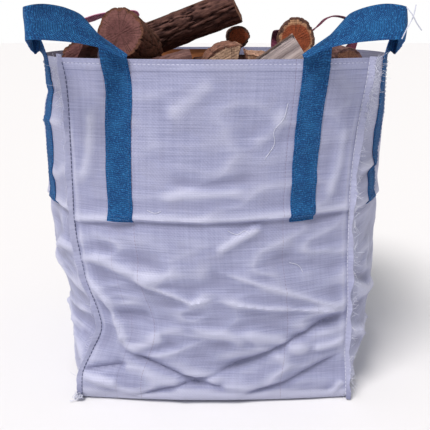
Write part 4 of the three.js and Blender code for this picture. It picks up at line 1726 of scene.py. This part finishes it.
@dataclass
class FirewoodPile:
    """The logs, each shaped afresh inside its plain solid."""

    end_bark: float = 4.5
    inset: float = 1.3

    def read(self, node: str) -> LogForm:
        """Finds a log's axis, its outline and which of its sides were split.

        Args:
            node: the log's CAD node.

        Returns:
            The log's form, in mm.
        """
        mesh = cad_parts[node].data
        points = np.array([v.co for v in mesh.vertices], float) / MM
        points = np.unique(np.round(points, 2), axis=0)
        axis = None
        for face in sorted(mesh.polygons, key=lambda f: -f.area):
            normal = np.array(face.normal, float)
            reach = points @ normal
            middle = (reach.min() + reach.max()) / 2
            near = reach[reach < middle]
            far = reach[reach >= middle]
            if np.ptp(near) < 0.4 and np.ptp(far) < 0.4 and len(near) == len(far):
                axis = normal
                break
        if axis is None:
            raise ValueError(f"{node} isn't a straight solid")
        if axis @ [0.31, 0.87, 0.38] < 0:
            axis = -axis
        reach = points @ axis
        near = points[reach < (reach.min() + reach.max()) / 2]
        middle = near.mean(0)
        helper = np.array([0.0, 0.0, 1.0]) if abs(axis[2]) < 0.9 else np.array([1.0, 0.0, 0.0])
        right = unit(np.cross(helper, axis))
        up = np.cross(axis, right)
        flat = np.stack([(near - middle) @ right, (near - middle) @ up], -1)
        outline = flat[np.argsort(np.arctan2(flat[:, 1], flat[:, 0]))]
        sides = np.linalg.norm(np.roll(outline, -1, 0) - outline, axis=1)
        split = sides > 1.4 * np.median(sides)
        pith = np.zeros(2)
        if split.any():
            bark = outline[~(split & np.roll(split, 1))]
            system = np.column_stack([2 * bark, np.ones(len(bark))])
            pith = np.linalg.lstsq(system, (bark**2).sum(1), rcond=None)[0][:2]
        return LogForm(middle, axis, right, up, float(np.ptp(reach)), outline, split, pith)

    def rounded(self, form: LogForm, spacing: float) -> tuple[Array, Array, Array]:
        """Outline with its bark side rounded.

        Args:
            form: the log.
            spacing: distance between points, in mm.

        Returns:
            Points, whether each starts a split stretch, and the direction outwards at each.
        """
        outline, split = form.outline, form.split
        count = len(outline)
        places, flags = [], []
        for i in range(count):
            p1, p2 = outline[i], outline[(i + 1) % count]
            steps = max(2, round(float(np.linalg.norm(p2 - p1)) / spacing))
            t = (np.arange(steps) / steps)[:, None]
            if split[i]:
                places.append(p1 + (p2 - p1) * t)
            else:
                p0 = 2 * p1 - p2 if split[i - 1] else outline[i - 1]
                p3 = 2 * p2 - p1 if split[(i + 1) % count] else outline[(i + 2) % count]
                leave, arrive = (p2 - p0) / 2, (p3 - p1) / 2
                places.append(
                    p1 + leave * t + (3 * (p2 - p1) - 2 * leave - arrive) * t**2
                    + (2 * (p1 - p2) + leave + arrive) * t**3
                )
            flags.append(np.full(steps, bool(split[i])))
        points = np.concatenate(places)
        ahead = unit(np.roll(points, -1, 0) - np.roll(points, 1, 0))
        out = np.stack([ahead[:, 1], -ahead[:, 0]], -1)
        return points, np.concatenate(flags), out

    def relief(
        self, place: Array, is_split: Array, grade: Grade, seed: int, rough: float
    ) -> tuple[Array, Array]:
        """How deep the surface lies below the plain solid.

        Args:
            place: points in the log's own frame, X along it, in mm.
            is_split: where the surface is a split face.
            grade: how fine the log is.
            seed: picks the log's own pattern.
            rough: how deep its bark is furrowed, with 1 for most.

        Returns:
            Depth in mm, and depth from 0 to 1 for the finish.
        """
        if grade is Grade.BURIED:
            return np.full(place.shape[:-1], self.inset), np.zeros(place.shape[:-1])
        furrows = 1 - np.abs(fractal(place, (64, 13, 13), seed, 3)) * 2.4
        furrows = np.clip(furrows, 0, 1) ** 2.2
        plates = fractal(place, (24, 9, 9), seed + 31, 3)
        lumps = fractal(place, (95, 45, 45), seed + 61, 2)
        bark = self.inset + rough * (3.6 * furrows + 0.9 * (plates + 1)) + 1.0 * (lumps + 1)
        torn = fractal(place, (150, 7, 7), seed + 91, 3)
        ledges = np.abs(fractal(place, (210, 24, 24), seed + 121, 2))
        face = 0.5 + 0.9 * (torn + 1) + 3.4 * ledges
        depth = np.where(is_split, face, bark)
        shade = np.where(is_split, np.clip(0.25 - 0.7 * torn, 0, 1), np.clip(furrows * 1.1, 0, 1))
        return depth, shade

    def log(self, node: str, grade: Grade, materials: Sequence[Material], rough: float) -> Piece:
        """Builds one log inside its node's solid.

        Args:
            node: the CAD node that it stands for.
            grade: how fine it is made.
            materials: its bark, sawn end and split face.
            rough: how deep its bark is furrowed.

        Returns:
            The piece.
        """
        form = self.read(node)
        around, along, rings = grade.value
        outline, is_split, out = self.rounded(form, around)
        seed = int(node[-2:]) * 13
        stations = np.linspace(0, form.length, max(3, round(form.length / along)))
        count, rows = len(outline), len(stations)
        local = np.empty((rows, count, 3))
        local[..., 0] = stations[:, None]
        local[..., 1:] = outline[None]
        depth, shade = self.relief(local, np.broadcast_to(is_split, (rows, count)), grade, seed, rough)
        # The saw rounds the very edge of each end, and tears chips from the bark.
        edge = np.minimum(stations, form.length - stations)[:, None]
        chips = 0.0
        if grade is not Grade.BURIED:
            chips = 1.6 * np.clip(fractal(local, (30, 11, 11), seed + 151, 2), 0, 1)
        depth = depth + (0.9 + chips) * np.exp(-edge / 2.0)
        local[..., 1:] -= out[None] * depth[..., None]
        maker = MeshMaker()
        world = self.place(form, local)
        numbers = maker.add_points(world, shade) + np.arange(rows * count).reshape(rows, count)
        steps = np.linalg.norm(np.diff(np.vstack([outline, outline[:1]]), axis=0), axis=1)
        length = np.concatenate([[0], np.cumsum(steps)])
        wrapped = np.concatenate([numbers, numbers[:, :1]], 1)
        u, v = np.broadcast_arrays(stations[:, None] + seed * 31, length[None, :] + seed * 17)
        kinds = np.broadcast_to(np.where(is_split, 2, 0), (rows - 1, count)).reshape(-1)
        maker.add_grid(wrapped[::-1], np.stack([u, v], -1)[::-1] * MM, kinds)
        for end, row in ((0, 0), (1, rows - 1)):
            self.sawn_end(maker, form, local[row], numbers[row], is_split, rings, end, seed, grade)
        piece = maker.build(node + "_wood", materials)
        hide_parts(node)
        return piece

    def place(self, form: LogForm, local: Array) -> Array:
        """Takes points from the log's own frame to the bag's."""
        return (
            form.start
            + local[..., :1] * form.axis
            + local[..., 1:2] * form.right
            + local[..., 2:3] * form.up
        )

    def sawn_end(
        self, maker: MeshMaker, form: LogForm, rim: Array, rim_numbers: Array, is_split: Array,
        rings: int, end: int, seed: int, grade: Grade,
    ) -> None:
        """Closes one end of a log: a ring of bark, then end grain with the saw's marks.

        Args:
            maker: the log's mesh.
            form: the log's form.
            rim: the end row's points in the log's own frame.
            rim_numbers: their numbers in the mesh.
            is_split: where the side wall is a split face.
            rings: number of rings of faces.
            end: 0 for the near end, 1 for the far one.
            seed: the log's own seed.
            grade: how fine it is made.
        """
        count = len(rim)
        centre = rim[:, 1:].mean(0)
        reach = np.linalg.norm(rim[:, 1:] - centre, axis=1)
        first = np.clip(self.end_bark / np.maximum(reach, 1), 0, 0.4)
        ragged = 1 + 0.5 * fractal(rim, (20, 9, 9), seed + 171, 2)
        sign = 1 if end == 0 else -1
        previous = rim_numbers
        previous_flat = rim[:, 1:]
        for ring in range(1, rings + 1):
            share = first * ragged + (1 - first * ragged) * (ring - 1) / rings
            flat = rim[:, 1:] + (centre - rim[:, 1:]) * share[:, None]
            local = np.column_stack([rim[:, 0], flat])
            if grade is not Grade.BURIED:
                torn = fractal(local, (9, 16, 16), seed + 181 + end, 2)
                marks = 0.35 * np.sin(flat @ [0.6, 1.1]) + 0.7 * torn
                local[:, 0] = rim[:, 0] + sign * (0.8 + marks)
            numbers = maker.add_points(self.place(form, local)) + np.arange(count)
            outer, inner = np.append(previous, previous[0]), np.append(numbers, numbers[0])
            outer_uv = np.vstack([previous_flat, previous_flat[:1]]) - form.pith
            inner_uv = np.vstack([flat, flat[:1]]) - form.pith
            grid, uv = np.stack([outer, inner]), np.stack([outer_uv, inner_uv])
            if end == 0:
                grid, uv = grid[::-1], uv[::-1]
            kinds = np.where(is_split, 1, 0) if ring == 1 else np.full(count, 1)
            maker.add_grid(grid[::-1], uv[::-1] * MM, kinds)
            previous, previous_flat = numbers, flat
        tip = maker.add_points(self.place(form, np.array([[rim[0, 0] + sign * 0.8, *centre]])))
        after = np.roll(previous, -1)
        fan = np.stack([previous, after, np.full(count, tip)], -1)
        uv = np.stack([previous_flat, np.roll(previous_flat, -1, 0), np.broadcast_to(centre, (count, 2))], 1)
        uv = (uv - form.pith) * MM
        if end == 0:
            fan, uv = fan[:, ::-1], uv[:, ::-1]
        maker.add_faces(fan, uv, 1)

    def build(self) -> list[Piece]:
        """Builds every log, the showing ones finest.

        Returns:
            The pieces.
        """
        sets = {
            wood: [Bark(wood).material(), SawnEnd(wood).material(), SplitFace(wood).material()]
            for wood in LogWood
        }
        spare = [LogWood.BROWN, LogWood.TAN, LogWood.RUSSET, LogWood.FURROWED, LogWood.ORANGE]
        pieces = []
        for node in sorted(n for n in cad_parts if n.startswith("log_")):
            number = int(node[-2:])
            wood = SHOWN_LOGS.get(node, spare[number % len(spare)])
            if node in SHOWN_LOGS:
                grade = Grade.SHOWN
            else:
                grade = Grade.GLIMPSED if number >= GLIMPSED_FROM else Grade.BURIED
            rough = {LogWood.FURROWED: 1.5, LogWood.RUSSET: 0.8}.get(wood, 0.9)
            piece = self.log(node, grade, sets[wood], rough)
            pieces.append(piece)
        return pieces


# ---- studio -------------------------------------------------------------------------------


@dataclass
class Studio:
    """Camera, floor and light."""

    camera_place: tuple[float, float, float] = (0.0, -1.517, 0.772)
    camera_pitch: float = 16.2
    lens: float = 54.5
    floor_size: float = 60.0
    zenith: float = 0.55
    low_sky: float = 0.30
    horizon: float = 1.0
    sun_height: float = 56.0
    sun_turn: float = 33.0  # degrees to the left of the camera
    sun_spread: float = 22.0
    sun_strength: float = 3.0

    def camera(self) -> None:
        """Stands the camera in front of the bag, a little above its rim and looking down on it."""
        data = bpy.data.cameras.new("camera")
        data.sensor_width = 36.0
        data.lens = self.lens
        camera = bpy.data.objects.new("camera", data)
        camera.location = self.camera_place
        camera.rotation_euler = (math.radians(90 - self.camera_pitch), 0, 0)
        bpy.context.scene.collection.objects.link(camera)
        bpy.context.scene.camera = camera

    def sky(self) -> bpy.types.World:
        """Makes an overcast sky: even cloud, with a bright band along the horizon.

        Returns:
            The new world.
        """
        world = bpy.data.worlds.new("overcast_sky")
        world.use_nodes = True
        tree = world.node_tree
        tree.nodes.clear()
        place = add_node(tree, "TexCoord").outputs["Generated"]
        axes = add_node(tree, "SeparateXYZ", {0: place})
        rise = add_node(
            tree,
            "MapRange",
            {
                "Value": axes.outputs[2],
                "From Min": 0.25,
                "From Max": 0.8,
                "To Min": self.low_sky,
                "To Max": self.zenith,
            },
        )
        off = add_node(tree, "Math", {0: axes.outputs[2]}, operation="ABSOLUTE")
        band = add_node(
            tree,
            "MapRange",
            {"Value": off, "From Min": 0.07, "From Max": 0.14, "To Min": 1.0, "To Max": 0.0},
        )
        strength = add_node(tree, "Mix", {"Factor": band, "A": rise, "B": self.horizon}, data_type="FLOAT")
        background = add_node(tree, "Background", {"Color": linear("#ffffff"), "Strength": strength})
        add_node(tree, "OutputWorld", {"Surface": background})
        return world

    def sun(self) -> None:
        """Hangs the main light: a broad soft one, high to the front and left."""
        data = bpy.data.lights.new("broad_soft_light", "SUN")
        data.energy = self.sun_strength
        data.angle = math.radians(self.sun_spread)
        data.color = linear("#fffaf4")[:3]
        lamp = bpy.data.objects.new("broad_soft_light", data)
        lamp.rotation_euler = (math.radians(90 - self.sun_height), 0, math.radians(-self.sun_turn))
        bpy.context.scene.collection.objects.link(lamp)

    def build(self) -> None:
        """Lights the room like an overcast day and lays the floor."""
        bpy.context.scene.world = self.sky()
        bpy.context.scene.view_settings.view_transform = "Standard"
        self.sun()
        half = self.floor_size / 2
        mesh = bpy.data.meshes.new("floor")
        corners = [(-half, -half, 0), (half, -half, 0), (half, half, 0), (-half, half, 0)]
        mesh.from_pydata(corners, [], [(0, 1, 2, 3)])
        mesh.materials.append(PaintedFloor().material())
        floor = bpy.data.objects.new("floor", mesh)
        bpy.context.scene.collection.objects.link(floor)


def main() -> None:
    logging.basicConfig(level=logging.INFO, format="%(message)s")
    studio = Studio()
    studio.camera()
    studio.build()
    walls = BagWalls()

    cloth = WovenPolypropylene("woven_polypropylene", marked=True).material()
    side_cloth = WovenPolypropylene("woven_polypropylene_sides").material()
    selvedge = WovenPolypropylene(
        "woven_polypropylene_selvedge", lit="#aeb1ce", dull="#9598b8", valley=0.0, crest=0.0, hemmed=False
    )
    flange_cloth = selvedge.material()
    blue = WovenWebbing("blue_webbing", "#2f7fbf", "#0e4a86", "#06203f").material()
    pink = WovenWebbing("pink_webbing", "#d78fae", "#c2769b", "#8a4868").material()
    # The back right loop is the pink webbing again, its colours darkened with painted shade.
    pink_in_painted_shade = WovenWebbing("crimson_webbing", "#8a4460", "#6a2c46", "#3a1526").material()
    dark_thread = SpunThread("navy_seam_thread", "#35406e", "#1c2547").material()
    white_thread = SpunThread("white_thread", "#dfe1ee", "#b4b7cc").material()
    blue_thread = SpunThread("blue_stitching", "#2f74b4", "#17477c").material()

    panels = BagPanels(walls)
    u_piece = panels.u_piece(cloth)
    sides = [panels.side_panel(side, side_cloth) for side in (Side.LEFT, Side.RIGHT)]
    seams = CornerSeams(walls)
    for side_x in (-1, 1):
        for end_y in (-1, 1):
            seams.flange(side_x, end_y, flange_cloth)
            thread = dark_thread if side_x < 0 else white_thread
            seams.stitches(side_x, end_y, thread)
            fuzzy = side_x > 0 and end_y < 0
            count = 260 if fuzzy else 60
            seams.fraying(side_x, end_y, count, 70 + side_x + 2 * end_y, white_thread)

    loops = LiftingLoops(walls)
    stitched = []
    for node, side_x, end_y, pose, finish, name in (
        ("loop_front_left", -1, -1, LoopPose.LEANING_OUT, blue, "blue_webbing"),
        ("loop_front_right", 1, -1, LoopPose.LEANING_OUT, blue, "blue_webbing"),
        ("loop_back_left", -1, 1, LoopPose.FALLEN_IN, pink, "pink_webbing"),
        ("loop_back_right", 1, 1, LoopPose.LOW_ARCH, pink_in_painted_shade, "crimson_webbing"),
    ):
        loops.loop(node, side_x, end_y, pose, finish)
        stitches = loops.leg_stitches(side_x, end_y, blue_thread if end_y < 0 else dark_thread)
        stitched.append(stitches)

    threads = LooseThreads(walls)
    ends = [
        threads.thread_ends(white_thread),
        threads.corner_knot(white_thread),
        threads.lying_fibre(white_thread),
    ]

    FirewoodPile().build()


if __name__ == "__main__":
    main()
